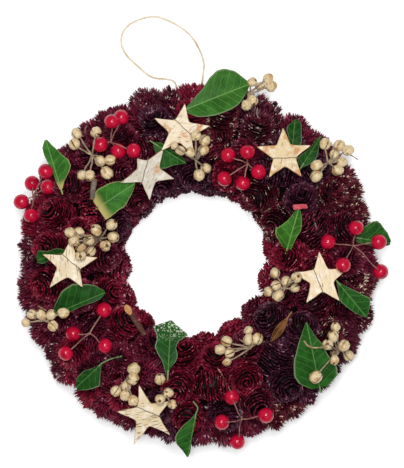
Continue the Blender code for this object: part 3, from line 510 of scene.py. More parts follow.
@dataclass(frozen=True)
class LeafFinish(Finish):
    """A preserved leathery leaf: satin green with a paler midrib, side veins and margin."""

    green: str
    light: str
    vein: str
    margin: str = "#7f8f68"
    aged: str = "#b9ab6a"
    ageing: float = 0.0             # how far the stalk end has yellowed
    vein_step: float = 6.5
    frost: float = 0.0              # how much white speck lies on the far end

    def paint(self, tree: bpy.types.NodeTree, shader: bpy.types.Node) -> None:
        """Paints in the leaf's own millimetres: x along the midrib, y across, z the share of the width."""
        nodes = Painter(tree)
        place = nodes.add("TexCoord", output="Object")
        spot = nodes.attribute("blade", "Vector")
        parts = nodes.add("SeparateXYZ", [spot], "X").node.outputs
        side = nodes.math("ABSOLUTE", parts["Y"])
        # The attribute is in millimetres, so one wander of a vein is 5 units long
        wander = nodes.add("TexNoise", {"Vector": spot, "Scale": 0.2}, "Fac")
        slant = nodes.math("MULTIPLY_ADD", side, -0.75, parts["X"])
        course = nodes.math("MULTIPLY_ADD", wander, 3.0, slant)
        phase = nodes.math("DIVIDE", course, self.vein_step)
        phase = nodes.math("FRACT", phase)
        phase = nodes.math("SUBTRACT", phase, 0.5)
        gap = nodes.math("ABSOLUTE", phase)
        side_vein = nodes.smooth(gap, 0.01, 0.07, 0.5, 0.0)
        midrib = nodes.smooth(side, 0.2, 0.7, 0.75, 0.0)
        veins = nodes.math("MAXIMUM", side_vein, midrib)
        cloud = nodes.noise(place, 9, 4.0)
        mottle = nodes.smooth(cloud, 0.35, 0.7)
        blade = nodes.mix(mottle, self.green, self.light)
        # Net veins are about 1.6 mm apart
        net = nodes.add("TexVoronoi", {"Vector": place, "Scale": per(1.6)}, "Distance",
                        feature="DISTANCE_TO_EDGE")
        lines = nodes.span(net, 0.02, 0.12, 0.14, 0.0)
        lines = nodes.math("MAXIMUM", lines, veins)
        lined = nodes.mix(lines, blade, self.vein)
        across = nodes.math("ABSOLUTE", parts["Z"])
        edge = nodes.span(across, 0.9, 0.99, 0.0, 0.85)
        rimmed = nodes.mix(edge, lined, self.margin)
        old = nodes.smooth(parts["X"], 1.0, 9.0, self.ageing, 0.0)
        dry = nodes.mix(old, rimmed, self.aged)
        grit = nodes.noise(place, 1.3, 1.0)
        grit = nodes.span(grit, 0.56, 0.62, 0.0, self.frost)
        far = nodes.span(parts["X"], 26.0, 42.0)
        grit = nodes.math("MULTIPLY", grit, far)
        colour = nodes.mix(grit, dry, "#dfe6cf")
        relief = nodes.math("MULTIPLY_ADD", mottle, -0.5, veins)
        relief = nodes.math("SUBTRACT", 0.5, relief)
        rough = nodes.span(mottle, 0.0, 1.0, 0.4, 0.55)
        self.dress(tree, shader, colour, rough, relief, 0.3, 0.1)


@dataclass(frozen=True)
class LacquerFinish(Finish):
    """Bright red lacquer over a moulded foam berry: deep gloss with a faint orange peel."""

    red: str = "#bd0d34"
    deep: str = "#640216"

    def paint(self, tree: bpy.types.NodeTree, shader: bpy.types.Node) -> None:
        """Paints the lacquer a little deeper where it pooled."""
        nodes = Painter(tree)
        place = nodes.add("TexCoord", output="Object")
        pool = nodes.noise(place, 5)
        pool = nodes.smooth(pool, 0.4, 0.75, 0.0, 0.5)
        dot = nodes.attribute("scar", "Fac")
        dot = nodes.span(dot, 0.3, 0.9)
        shade = nodes.math("MAXIMUM", pool, dot)
        colour = nodes.mix(shade, self.red, self.deep)
        peel = nodes.noise(place, 1.8)
        self.dress(tree, shader, colour, 0.4, peel, 0.05, 0.05)
        shader.inputs["Coat Weight"].default_value = 0.5
        shader.inputs["Coat Roughness"].default_value = 0.14


@dataclass(frozen=True)
class NutFinish(Finish):
    """Waxy tallow nuts: ivory and matt, finely wrinkled, brown at the scar and in the creases, where the
    brown is partly a seam and partly painted shade.
    """

    ivory: str = "#d9c69f"
    shade: str = "#b1843f"
    scar: str = "#5e3d1c"

    def paint(self, tree: bpy.types.NodeTree, shader: bpy.types.Node) -> None:
        """Paints wax that has thinned in patches."""
        nodes = Painter(tree)
        place = nodes.add("TexCoord", output="Object")
        wrinkle = nodes.noise(place, 2, 4.0, 0.65)
        thin = nodes.smooth(wrinkle, 0.45, 0.75)
        broad = nodes.noise(place, 7, 2.0)
        stain = nodes.smooth(broad, 0.52, 0.7, 0.0, 0.8)
        tone = nodes.math("MAXIMUM", thin, stain)
        base = nodes.mix(tone, self.ivory, self.shade)
        # The scar layer also marks the creases, whose brown is partly painted shade
        scar = nodes.attribute("scar", "Fac")
        ragged = nodes.math("MULTIPLY_ADD", wrinkle, 0.6, scar)
        brown = nodes.smooth(ragged, 0.72, 1.05)
        colour = nodes.mix(brown, base, self.scar)
        self.dress(tree, shader, colour, 0.42, wrinkle, 0.35, 0.4)


@dataclass(frozen=True)
class TwigFinish(Finish):
    """Twig bark, willow rod or paper-covered wire: dry, ridged and mottled."""

    bark: str = "#5d4632"
    pale: str = "#a58f72"
    ridge: float = 0.6
    rough: float = 0.8

    def paint(self, tree: bpy.types.NodeTree, shader: bpy.types.Node) -> None:
        """Paints fine ridges and a broad bloom."""
        nodes = Painter(tree)
        place = nodes.add("TexCoord", output="Object")
        fine = nodes.noise(place, self.ridge, 3.0)
        broad = nodes.noise(place, self.ridge * 8, 3.0)
        tone = nodes.math("ADD", fine, broad)
        tone = nodes.span(tone, 0.75, 1.3)
        colour = nodes.mix(tone, self.bark, self.pale)
        self.dress(tree, shader, colour, self.rough, fine, 0.3, 0.3)


@dataclass(frozen=True)
class WireFinish(Finish):
    """Annealed iron wire: dark, dull and scaly."""

    def paint(self, tree: bpy.types.NodeTree, shader: bpy.types.Node) -> None:
        """Paints the oxide scale."""
        nodes = Painter(tree)
        place = nodes.add("TexCoord", output="Object")
        scale = nodes.noise(place, 1.2)
        tone = nodes.span(scale, 0.35, 0.7)
        colour = nodes.mix(tone, "#54473d", "#8d7d6e")
        self.dress(tree, shader, colour, 0.5, scale, 0.05)
        shader.inputs["Metallic"].default_value = 0.5


@dataclass(frozen=True)
class GlueFinish(Finish):
    """Hot-melt glue painted near black as painted shade between the cones: smooth and a little glossy."""

    def paint(self, tree: bpy.types.NodeTree, shader: bpy.types.Node) -> None:
        """Paints the glue near black, the painted shade between the cones, in blotches by noise."""
        nodes = Painter(tree)
        place = nodes.add("TexCoord", output="Object")
        run = nodes.noise(place, 8, 3.0)
        stain = nodes.smooth(run, 0.35, 0.6)
        # Both colours are near black: painted shade between the cones
        colour = nodes.mix(stain, "#2a0c0c", "#100408")
        self.dress(tree, shader, colour, 0.8, run, 0.6, 0.06)


@dataclass(frozen=True)
class JuteFinish(Finish):
    """Twisted natural jute: straw-coloured, hairy and matt, darker between the plies."""

    def paint(self, tree: bpy.types.NodeTree, shader: bpy.types.Node) -> None:
        """Paints fine fibres."""
        nodes = Painter(tree)
        place = nodes.add("TexCoord", output="Object")
        fibre = nodes.noise(place, 0.5, 3.0, 0.6)
        broad = nodes.noise(place, 9, 2.0)
        tone = nodes.math("ADD", fibre, broad)
        tone = nodes.span(tone, 0.75, 1.25)
        colour = nodes.mix(tone, "#cdb898", "#f1e9da")
        self.dress(tree, shader, colour, 0.9, fibre, 0.2, 0.2)


@dataclass(frozen=True)
class PaperFinish(Finish):
    """Seamless white paper: plain and matt, with a little light of its own like a lit table."""

    glow: float = 0.37

    def paint(self, tree: bpy.types.NodeTree, shader: bpy.types.Node) -> None:
        """Sets a plain white."""
        shader.inputs["Base Color"].default_value = linear("#f6f6f6")
        shader.inputs["Roughness"].default_value = 0.9
        shader.inputs["Specular IOR Level"].default_value = 0.1
        shader.inputs["Emission Color"].default_value = linear("#ffffff")
        shader.inputs["Emission Strength"].default_value = self.glow


class Dye(enum.Enum):
    """The dye lots of the cones."""

    # Each lot: painted shade at the roots, its dye, wear with a painted highlight at the tips, the bare tips'
    # colour and their share
    PLUM = ConeScaleFinish("dyed_cone_plum", "#0a0206", "#3a0d22", "#713a50", "#c39fac", 0.06)
    WINE = ConeScaleFinish("dyed_cone_wine", "#0c0207", "#570a22", "#8a2f4a", "#cf9aa6", 0.06)
    CRIMSON = ConeScaleFinish("dyed_cone_crimson", "#110207", "#730b26", "#a32b46", "#dba3ac", 0.06)
    SILVER = ConeScaleFinish("dyed_cone_silver_tips", "#080106", "#430a1d", "#7d3047", "#e6d3c2", 0.13)
    GOLD = ConeScaleFinish("dyed_cone_gold_tips", "#0c0207", "#4c0a1e", "#7c2c3a", "#ead9bd", 0.14)


# ---------------------------------------------------------------- twine

@dataclass
class HangingTwine:
    """The loop of twisted jute that the wreath hangs by."""

    radius: float = 1.0 * MM
    point_step: float = 5.2 * MM
    strands: int = 3
    strand_radius: float = 0.56 * MM
    twist: float = 6.5 * MM         # length of one full turn
    strand_step: float = 0.8 * MM
    stray_fibres: int = 110
    route: tuple = (
        (-11.4, 109.7, 4.6), (-12.6, 117, 3.2), (-13.8, 127, 1.6), (-15.3, 138, 1.2), (-18.5, 148.5, 1.1),
        (-26.5, 151, 1.1), (-33, 151.5, 1.1), (-39.5, 154, 1.1), (-50, 163, 1.1), (-57.5, 170.5, 1.1),
        (-61.5, 179.5, 1.1), (-60.5, 188, 1.1), (-55, 195, 1.1), (-44.5, 200, 1.1), (-34, 201.5, 1.1),
        (-24, 198.5, 1.1), (-13.5, 193, 1.1), (-4, 184.5, 1.1), (2.5, 173.5, 1.1), (5.5, 163.5, 1.1),
        (5, 155.5, 1.1), (4, 147, 1.1), (3.2, 137, 1.2), (2.6, 127, 1.6), (2.2, 117, 3.2), (2, 110.3, 4.6),
    )

    def build(self) -> bpy.types.Object:
        """Twists the strands round the route and lays a few stray fibres on them."""
        points = [plan(x, y, z * MM) for x, y, z in self.route]
        line = smooth_route(points, self.point_step)
        fine = smooth_route(points, self.strand_step)
        bm = bmesh.new()
        for number in range(self.strands):
            append(bm, rod(self.strand(fine, number), [self.strand_radius] * len(fine), 6))
        rng = random.Random(3)
        for _ in range(self.stray_fibres):
            start = rng.randrange(4, len(fine) - 8)
            lift = Vector((rng.uniform(-1, 1), rng.uniform(-1, 1), rng.uniform(-0.1, 0.8))).normalized()
            path = [fine[start + k] + lift * (self.radius * 0.9 + k * k * 0.05 * MM) for k in range(4)]
            append(bm, rod(path, [0.05 * MM, 0.05 * MM, 0.04 * MM, 0.02 * MM], 4))
        piece = add_piece("jute_twine", bm, [JuteFinish("twisted_jute")], ["hanging_twine"], 60.0)
        return piece

    def strand(self, line: Sequence[Vector], number: int) -> list[Vector]:
        """Winds one strand round the line.

        Args:
            line: The twine's centre line, evenly spaced.
            number: Which strand.

        Returns:
            The strand's own centre line.
        """
        out = []
        for index, point in enumerate(line):
            ahead = line[min(index + 1, len(line) - 1)] - line[max(index - 1, 0)]
            across = Vector((ahead.y, -ahead.x, 0)).normalized()
            over = across.cross(ahead).normalized()
            turn = 2 * math.pi * (number / self.strands + index * self.strand_step / self.twist)
            reach = self.radius - self.strand_radius
            out.append(point + (across * math.cos(turn) + over * math.sin(turn)) * reach)
        return out


# ---------------------------------------------------------------- willow ring and glue

@dataclass
class WillowRing:
    """The ring of bent willow rods that carries everything, bound with split withies."""

    radius: float = 98 * MM
    centre_height: float = 11.6 * MM
    bundle_radius: float = 6.6 * MM
    rod_radius: float = 4.9 * MM
    rods: int = 7
    windings: int = 2               # full turns of each rod about the bundle
    steps: int = 120
    bindings: int = 12
    binding_radius: float = 0.9 * MM
    binding_slant: float = 0.0035   # how far round the wreath each step of a binding goes, in radians
    binding_steps: int = 24         # steps in one turn of a binding
    binding_points: int = 50

    def spot(self, turn: float, about: float, reach: float) -> Vector:
        """Returns a place at an angle round the wreath and an angle about the bundle."""
        out = self.radius + reach * math.cos(about)
        height = self.centre_height + reach * math.sin(about)
        return Vector((CENTRE.x + out * math.cos(turn), CENTRE.y + out * math.sin(turn), height))

    def build(self) -> list[bpy.types.Object]:
        """Makes the rods and the withies that bind them."""
        rng = random.Random(5)
        bm = bmesh.new()
        for number in range(self.rods):
            lag = 2 * math.pi * number / self.rods
            line = []
            for step in range(self.steps):
                turn = 2 * math.pi * step / self.steps
                line.append(self.spot(turn, lag + self.windings * turn, self.bundle_radius))
            radii = [self.rod_radius * rng.uniform(0.9, 1.0) for _ in line]
            append(bm, rod(line, radii, 10, closed=True))
        roughen(bm.verts, 14.0, 0.35)
        press_flat(bm.verts)
        rods = add_piece("willow_rods", bm, [TwigFinish("willow_rod", "#4b3320", "#8d6a45", 0.9, 0.7)],
                         ["base_ring"], 60.0)
        bm = bmesh.new()
        reach = self.bundle_radius + self.rod_radius + self.binding_radius * 0.4
        for number in range(self.bindings):
            turn = 2 * math.pi * (number + 0.5) / self.bindings
            line = [self.spot(turn + k * self.binding_slant, 2 * math.pi * k / self.binding_steps, reach)
                    for k in range(self.binding_points)]
            append(bm, rod(line, [self.binding_radius] * len(line), 6))
        press_flat(bm.verts)
        split = TwigFinish("split_willow", "#8a6a42", "#c9a877", 0.8, 0.6)
        withies = add_piece("willow_withies", bm, [split], ["base_ring"], 60.0)
        return [rods, withies]


@dataclass
class GlueBeds:
    """The hot glue over the ring, one stretch under each tenth of the cones, dark as painted shade in the
    gaps between them.
    """

    count: int = 10
    inner: float = 0.6 * MM
    thickness: float = 3.0 * MM
    half_width: float = 13 * MM
    half_height: float = 14 * MM
    core_height: float = 10 * MM
    ring_radius: float = 98 * MM
    points: int = 9
    steps: int = 14
    gap: float = 0.004              # what each stretch leaves free at each end, in radians

    def build(self) -> list[bpy.types.Object]:
        """Spins each stretch's section round a tenth of the ring."""
        made = []
        width = 2 * math.pi / self.count
        for number in range(self.count):
            bm = bmesh.new()
            corners = [bm.verts.new(spot) for spot in self.section(number * width + self.gap)]
            face = bm.faces.new(corners)
            bmesh.ops.spin(bm, geom=[face, *face.edges, *face.verts], cent=CENTRE, axis=(0, 0, 1),
                           angle=width - 2 * self.gap, steps=self.steps, use_merge=False)
            bmesh.ops.recalc_face_normals(bm, faces=bm.faces)
            roughen(bm.verts, 6.0, 1.0)
            name = f"cone_cluster_{number + 1:02d}"
            made.append(add_piece(f"glue_and_shade_bed_{number + 1:02d}", bm, [GlueFinish("hot_glue_painted_shade")],
                                  [name], 50.0))
        return made

    def section(self, turn: float) -> list[Vector]:
        """Returns the band over the upper half of the ring, at one turn."""
        spots = []
        for grow, order in ((self.inner + self.thickness, 1), (self.inner, -1)):
            for k in range(self.points)[::order]:
                about = math.pi * k / (self.points - 1)
                out = self.ring_radius + (self.half_width + grow) * math.cos(about)
                height = self.core_height + (self.half_height + grow) * math.sin(about)
                spots.append(CENTRE + Vector((out * math.cos(turn), out * math.sin(turn), height)))
        return spots


# ---------------------------------------------------------------- cones

@dataclass
class Cone:
    """One cone: its stem end, its direction and its size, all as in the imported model."""

    base: Vector
    axis: Vector
    length: float
    radius: float
    spin: float
    sector: int

    def place(self) -> Matrix:
        """Returns the matrix from the cone's own frame, +Z to its tip, to the wreath's."""
        turn = self.axis.to_track_quat("Z", "Y").to_matrix().to_4x4()
        return Matrix.Translation(CENTRE + self.base) @ turn @ Matrix.Rotation(self.spin, 4, "Z")


@dataclass
class ConeLayout:
    """Where the cones stand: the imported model's own rows, drawn in the same order."""

    seed: int = 11
    clusters: int = 10
    radius: float = 13 * MM
    length: float = 37 * MM
    rim_base: float = 110 * MM
    hole_base: float = 86 * MM
    hole_share: float = 0.94
    stray: float = 0.02             # radians that a level cone stands off its even place
    veer: float = 0.12              # radians that it points off straight out or in
    outer_reach: tuple = (146, 147, 149, 149, 148, 148, 146, 149, 150, 146, 149, 147, 144, 147, 144,
                          148, 147, 148, 148, 146, 145, 149, 150, 147, 149, 146, 148, 150, 147)
    inner_reach: tuple = (54, 58, 59, 56, 58, 56, 59, 52, 55, 55, 54, 54, 52, 49, 50)
    # Smaller cones over the gaps of both rows: stem end (radius, height), radius, then reaches in mm
    outer_gaps: tuple = ((112, 25), 10, (147, 148, 149, 148, 145, 147, 147, 146, 147, 143, 148, 143, 147, 148,
                                         147, 146, 146, 144, 144, 148, 147, 147, 147, 148, 149, 147, 146,
                                         148, 145))
    inner_gaps: tuple = ((84, 25), 9.5, (58,) * 15)
    # Count, phase, middle (radius, height) in mm, lift in degrees, turn from outward and its spread
    upper_rows: tuple = (
        (27, 0.0, (119.5, 37), 50, 0.0, 0.35),
        (11, 0.0, (98, 42), 62, 0.0, 3.0),
        (11, 0.5, (98, 41), 12, math.pi / 2, 0.9),
        (17, 0.3, (77, 37), 52, math.pi, 0.35),
    )

    def cones(self) -> list[Cone]:
        """Returns every cone, row by row from the rim to the hole, then those over the gaps."""
        rng = random.Random(self.seed)
        found = self.level_row(rng, self.outer_reach, self.rim_base, True)
        for row in self.upper_rows:
            found += self.upper_row(rng, *row)
        found += self.level_row(rng, self.inner_reach, self.hole_base, False)
        found += self.gap_row(rng, *self.outer_gaps, True)
        return found + self.gap_row(rng, *self.inner_gaps, False)

    def cone(self, base: Vector, axis: Vector, length: float, radius: float, spin: float) -> Cone:
        """Returns a cone with the number of its cluster."""
        turn = math.atan2(base.y, base.x) % (2 * math.pi)
        return Cone(base, axis, length, radius, spin, int(turn / (2 * math.pi / self.clusters)))

    def level_row(self, rng: random.Random, reaches: Sequence[float], base_radius: float,
                  outward: bool) -> list[Cone]:
        """Returns a row of cones that point away from the ring.

        Args:
            rng: The layout's own random numbers.
            reaches: How far each tip is from the wreath's centre, in mm.
            base_radius: How far the stem ends are from it.
            outward: Whether the row is at the rim and not at the hole.

        Returns:
            The row's cones.
        """
        row = []
        for index, reach in enumerate(reaches):
            angle = 2 * math.pi * (index + 0.5) / len(reaches) + rng.uniform(-self.stray, self.stray)
            heading = angle + (0 if outward else math.pi) + rng.uniform(-self.veer, self.veer)
            axis = pointing(heading, math.radians(rng.uniform(0, 7)))
            base = pointing(angle, 0) * base_radius + Vector((0, 0, rng.uniform(16.6, 18.2) * MM))
            length = abs(reach * MM - base_radius)
            radius = self.radius * rng.uniform(0.95, 1.03) * (1.0 if outward else self.hole_share)
            row.append(self.cone(base, axis, length, radius, rng.uniform(0, math.pi)))
        return row

    def gap_row(self, rng: random.Random, stem: tuple[float, float], radius: float, reaches: Sequence[float],
                outward: bool) -> list[Cone]:
        """Returns smaller cones over the gaps between the cones of the rim or of the hole.

        Args:
            rng: The layout's own random numbers.
            stem: How far the stem ends are from the centre, and their height, in mm.
            radius: The cones' radius in mm.
            reaches: How far each tip is from the wreath's centre, in mm.
            outward: Whether the row is at the rim and not at the hole.

        Returns:
            The row's cones.
        """
        row = []
        for index, reach in enumerate(reaches):
            angle = 2 * math.pi * index / len(reaches) + rng.uniform(-self.stray, self.stray)
            heading = angle + (0 if outward else math.pi) + rng.uniform(-self.veer, self.veer)
            axis = pointing(heading, math.radians(rng.uniform(2, 11)))
            base = pointing(angle, 0) * stem[0] * MM + Vector((0, 0, stem[1] * MM))
            size = radius * MM * rng.uniform(0.94, 1.04)
            row.append(self.cone(base, axis, abs(reach - stem[0]) * MM, size, rng.uniform(0, math.pi)))
        return row

    def upper_row(self, rng: random.Random, count: int, phase: float, centre: tuple[float, float],
                  lift: float, turn: float, spread: float) -> list[Cone]:
        """Returns a row of cones over the ring, by the place of their middles.

        Args:
            rng: The layout's own random numbers.
            count: How many cones the row has.
            phase: Where the first stands, in cones.
            centre: The middles' distance from the axis and their height, in mm.
            lift: Degrees above level.
            turn: Radians from outward.
            spread: How far a cone may turn off that.

        Returns:
            The row's cones.
        """
        row = []
        for index in range(count):
            angle = 2 * math.pi * (index + phase) / count + rng.uniform(-0.03, 0.03)
            heading = angle + turn + rng.uniform(-spread, spread)
            axis = pointing(heading, math.radians(lift + rng.uniform(-10, 10)))
            middle = pointing(angle, 0) * (centre[0] + rng.uniform(-1.2, 1.2)) * MM
            middle.z = (centre[1] + rng.uniform(-1.2, 1.2)) * MM
            length = self.length * (1 + rng.uniform(-0.06, 0.06))
            radius = self.radius * (1 + rng.uniform(-0.05, 0.05))
            row.append(self.cone(middle - axis * length / 2, axis, length, radius, rng.uniform(0, math.pi)))
        return row


def pointing(heading: float, lift: float) -> Vector:
    """Returns a unit vector from a compass heading and a lift above the table."""
    return Vector((math.cos(heading) * math.cos(lift), math.sin(heading) * math.cos(lift), math.sin(lift)))


@dataclass(frozen=True)
class Build:
    """How one kind of cone is built: its rows, and the size, point and lean of its scales."""

    row_step: float
    scale_step: float
    length: float
    width: float
    thickness: float
    open_lean: float                # degrees from the axis at the stem end
    shut_lean: float                # degrees from the axis at the tip
    shoulder: float                 # share of a scale's length where it starts to narrow to its point


class ConeKind(enum.Enum):
    """The kinds of cone in the wreath."""

    BROAD = Build(2.6 * MM, 3.5 * MM, 7.0 * MM, 4.1 * MM, 1.1 * MM, 82.0, 30.0, 0.74)
    BRISTLY = Build(2.7 * MM, 3.2 * MM, 9.2 * MM, 2.9 * MM, 1.5 * MM, 78.0, 30.0, 0.5)


@dataclass
class ScaledCones:
    """The cones with all their scales."""

    fullest: float = 0.42           # share of the length where an upper cone is widest
    level_fullest: float = 0.64     # the same for a cone of the rim or the hole
    stem_share: float = 0.55        # share of the radius at the stem end
    crown_radius: float = 1.5 * MM
    core_sides: int = 12
    core_rings: int = 9
    outline_steps: int = 80
    rim_cones: int = 29
    upper_cones: int = 66
    hole_cones: int = 15
    rim_swell: float = 1.2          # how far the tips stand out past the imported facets
    hole_swell: float = 1.15
    swell: float = 1.08
    level_rise: float = 0.13            # a level cone's axis rises by less than this
    bristly_from: float = 120 * MM      # distance from the middle past which every cone is bristly
    bristly_top: float = 93 * MM        # and how far up the wreath
    low_left: tuple[float, float] = (-20 * MM, -55 * MM)
    core_start: float = 0.03            # shares of the length that the core covers
    core_share: float = 0.75
    core_depth: float = 0.68            # share of a scale's length between the outline and the core
    cover: Optional[Surface] = None     # the thin pieces that lie on the cones
    # Places in mm and reaches where cones of one dye lot lie together
    spots: tuple = (
        (119, 64, 26, "GOLD"), (63, 48, 17, "GOLD"), (52, 32, 13, "GOLD"), (18, 109, 15, "GOLD"),
        (75, -113, 15, "GOLD"), (99, -49, 13, "GOLD"), (127, -14, 17, "GOLD"), (54, 121, 14, "SILVER"),
        (140, -42, 15, "SILVER"), (-122, -94, 26, "SILVER"), (-146, -10, 20, "SILVER"),
        (-76, -139, 22, "SILVER"), (-32, 138, 14, "SILVER"), (22, -52, 16, "CRIMSON"),
        (-118, 38, 30, "CRIMSON"), (-95, 40, 22, "CRIMSON"), (-60, -40, 24, "CRIMSON"),
        (10, -85, 34, "CRIMSON"), (62, 0, 22, "CRIMSON"), (-10, 128, 22, "CRIMSON"), (110, 40, 20, "WINE"),
        (85, -75, 40, "PLUM"), (82, 20, 26, "PLUM"), (-60, 92, 30, "WINE"), (70, 60, 24, "PLUM"),
        (-20, 70, 30, "PLUM"),
    )

    def outline(self, share: float, cone: Cone) -> float:
        """Returns a cone's radius along its length."""
        fullest = self.level_fullest if cone.axis.z < self.level_rise else self.fullest
        if share < fullest:
            return cone.radius * (1 - (1 - self.stem_share) * ((fullest - share) / fullest) ** 2.2)
        return cone.radius * math.sqrt(max(0.0, 1 - ((share - fullest) / (1 - fullest)) ** 3.4))

    def dye(self, cone: Cone, rng: random.Random) -> Dye:
        """Chooses a cone's dye lot by where it stands.

        Args:
            cone: The cone.
            rng: Decides where no place is named.

        Returns:
            The dye lot.
        """
        middle = cone.base + cone.axis * cone.length * 0.6
        drawn = rng.choice([Dye.PLUM, Dye.WINE, Dye.WINE, Dye.WINE, Dye.CRIMSON])
        for x, y, reach, name in self.spots:
            if math.hypot(middle.x - x * MM, middle.y - y * MM) < reach * MM:
                return Dye[name]
        return drawn

    def kind(self, number: int, cone: Cone) -> ConeKind:
        """Chooses the kind of cone: bristly at the rim, over the top and at the lower left."""
        middle = cone.base + cone.axis * cone.length * 0.5
        low_left = middle.x < self.low_left[0] and middle.y < self.low_left[1]
        rim = number < self.rim_cones or middle.xy.length > self.bristly_from
        return ConeKind.BRISTLY if rim or middle.y > self.bristly_top or low_left else ConeKind.BROAD

    def rows(self, cone: Cone, build: Build) -> list[tuple[float, float]]:
        """Returns the share of the length and the radius of each row, evenly spaced over the outline."""
        found, walked, last = [], 0.0, self.outline(0.0, cone)
        for step in range(1, self.outline_steps + 1):
            share = step / self.outline_steps
            radius = self.outline(share, cone)
            walked += math.hypot(radius - last, cone.length / self.outline_steps)
            last = radius
            if walked >= build.row_step and radius > self.crown_radius:
                found.append((share, radius))
                walked -= build.row_step
        return found

    def core(self, cone: Cone, build: Build) -> bmesh.types.BMesh:
        """Starts a cone with the woody core that its scales grow from."""
        bm = bmesh.new()
        bm.verts.layers.float.new("tip")
        bmesh.ops.create_uvsphere(bm, u_segments=self.core_sides, v_segments=self.core_rings, radius=1.0)
        for vert in bm.verts:
            share = self.core_start + self.core_share * (vert.co.z + 1) / 2
            across = math.hypot(vert.co.x, vert.co.y)
            wide = max(0.4 * MM, self.outline(share, cone) - self.core_depth * build.length)
            size = wide / across if across > 1e-4 else 0.0
            vert.co = Vector((vert.co.x * size, vert.co.y * size, share * cone.length))
        return bm

    def add_scale(self, bm: bmesh.types.BMesh, place: Matrix, shoulder: float) -> list[bmesh.types.BMVert]:
        """Adds one keeled, pointed scale, one unit long and wide before it is placed.

        Args:
            bm: The cone so far.
            place: From the scale's own frame, +Z to its tip and +Y to the cone's tip, to the cone's.
            shoulder: The share of its length where it starts to narrow.

        Returns:
            The scale's vertices.
        """
        layer = bm.verts.layers.float["tip"]
        made = bmesh.ops.create_cone(bm, cap_ends=True, segments=4, radius1=0.3, radius2=0.5, depth=shoulder,
                                     matrix=Matrix.Translation((0, 0, shoulder / 2)))["verts"]
        ring = [vert for vert in made if vert.co.z > shoulder / 2]
        cap = next(face for face in ring[0].link_faces if all(vert in ring for vert in face.verts))
        tip = bmesh.ops.poke(bm, faces=[cap])["verts"][0]
        for vert in made:
            # The edges of a scale take more wear than its keel and are painted lighter as a highlight
            vert[layer] = (0.45 if abs(vert.co.x) < 0.1 else 0.7) if vert in ring else 0.0
        tip.co = Vector((0, 0.4, 1.0))
        tip[layer] = 1.0
        bmesh.ops.transform(bm, matrix=place, verts=[*made, tip])
        return [*made, tip]

    def add_row(self, bm: bmesh.types.BMesh, build: Build, radius: float, height: float, lean: float,
                turn: float) -> None:
        """Adds one ring of scales whose tips lie on the cone's outline.

        Args:
            bm: The cone so far.
            build: The size of its scales.
            radius: How far the tips are from the axis.
            height: How far along the axis they are.
            lean: The angle in radians between a scale and the axis.
            turn: Where the first scale stands, in scales.
        """
        length = min(build.length, (radius - 0.2 * MM) / math.sin(lean))
        count = max(4, round(2 * math.pi * radius / build.scale_step))
        out = Vector((math.sin(lean), 0, math.cos(lean)))
        up = Vector((-math.cos(lean), 0, math.sin(lean)))
        root = Vector((radius, 0, height)) - out * length
        axes = Matrix((Vector((0, -1, 0)), up, out)).transposed().to_4x4()
        shrink = 0.7 + 0.3 * length / build.length
        size = Matrix.Diagonal((build.width * shrink, build.thickness * shrink, length, 1.0))
        start = Matrix.Rotation(2 * math.pi * turn / count, 4, "Z")
        verts = self.add_scale(bm, start @ Matrix.Translation(root) @ axes @ size, build.shoulder)
        parts = {item for vert in verts for item in (vert, *vert.link_edges, *vert.link_faces)}
        bmesh.ops.spin(bm, geom=list(parts), cent=(0, 0, 0), axis=(0, 0, 1), use_duplicate=True,
                       angle=2 * math.pi * (count - 1) / count, steps=count - 1)

    def add_cone(self, bm: bmesh.types.BMesh, number: int, cone: Cone) -> None:
        """Adds one cone to a piece: its core, then rows of scales turned round it.

        Args:
            bm: The piece so far.
            number: The cone's number.
            cone: Its place and size.
        """
        rng = random.Random(100 + number)
        build = self.kind(number, cone).value
        made = self.core(cone, build)
        for row, (share, radius) in enumerate(self.rows(cone, build)):
            lean = build.open_lean - (build.open_lean - build.shut_lean) * share ** 1.7 + rng.uniform(-5, 5)
            turn = row % 2 / 2 + rng.uniform(-0.2, 0.2)
            radius += rng.uniform(-0.5, 0.4) * MM
            self.add_row(made, build, radius, share * cone.length, math.radians(lean), turn)
        self.add_row(made, build, self.crown_radius, cone.length + 0.3 * MM, math.radians(14), 0.0)
        bmesh.ops.transform(made, matrix=cone.place(), verts=made.verts)
        roughen(made.verts, 3.0, 1.5)
        roughen(made.verts, 12.0, 2.0)
        press_flat(made.verts)
        press_under(made.verts, self.cover)
        mesh = bpy.data.meshes.new("cone")
        made.to_mesh(mesh)
        made.free()
        append(bm, mesh)

    def swelling(self, number: int) -> float:
        """Returns how far a cone's scales stand out past its packed facets."""
        if number < self.rim_cones:
            return self.rim_swell
        return self.swell if number < self.rim_cones + self.upper_cones else self.hole_swell

    def build(self) -> list[bpy.types.Object]:
        """Makes every cone of the layout; a smaller one is joined to the level cone beside it."""
        rng = random.Random(8)
        thin = ("salal_leaf", "birch_star")
        self.cover = Surface([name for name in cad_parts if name.startswith(thin)])
        cones = ConeLayout().cones()
        for number, cone in enumerate(cones):
            cone.radius *= self.swelling(number)
        single = self.rim_cones + self.upper_cones + self.hole_cones
        made = []
        for number, cone in enumerate(cones[:single]):
            lot = self.dye(cone, rng)
            group = [number]
            if number < self.rim_cones:
                group.append(single + number)
            elif number >= single - self.hole_cones:
                group.append(self.rim_cones + number + self.hole_cones)
            bm = bmesh.new()
            bm.verts.layers.float.new("tip")
            for member in group:
                self.add_cone(bm, member, cones[member])
            nodes = sorted({f"cone_cluster_{cones[member].sector + 1:02d}" for member in group})
            made.append(add_piece(f"cone_{number + 1:03d}", bm, [lot.value], nodes, None))
        return made


# ---------------------------------------------------------------- stars

@dataclass
class StarPlace:
    """One star: where it lies, how its arms lie, and its bark."""

    centre: tuple[float, float]
    turn: float
    arms: tuple
    notches: tuple[int, int]
    grain: float
    bark: BarkFinish


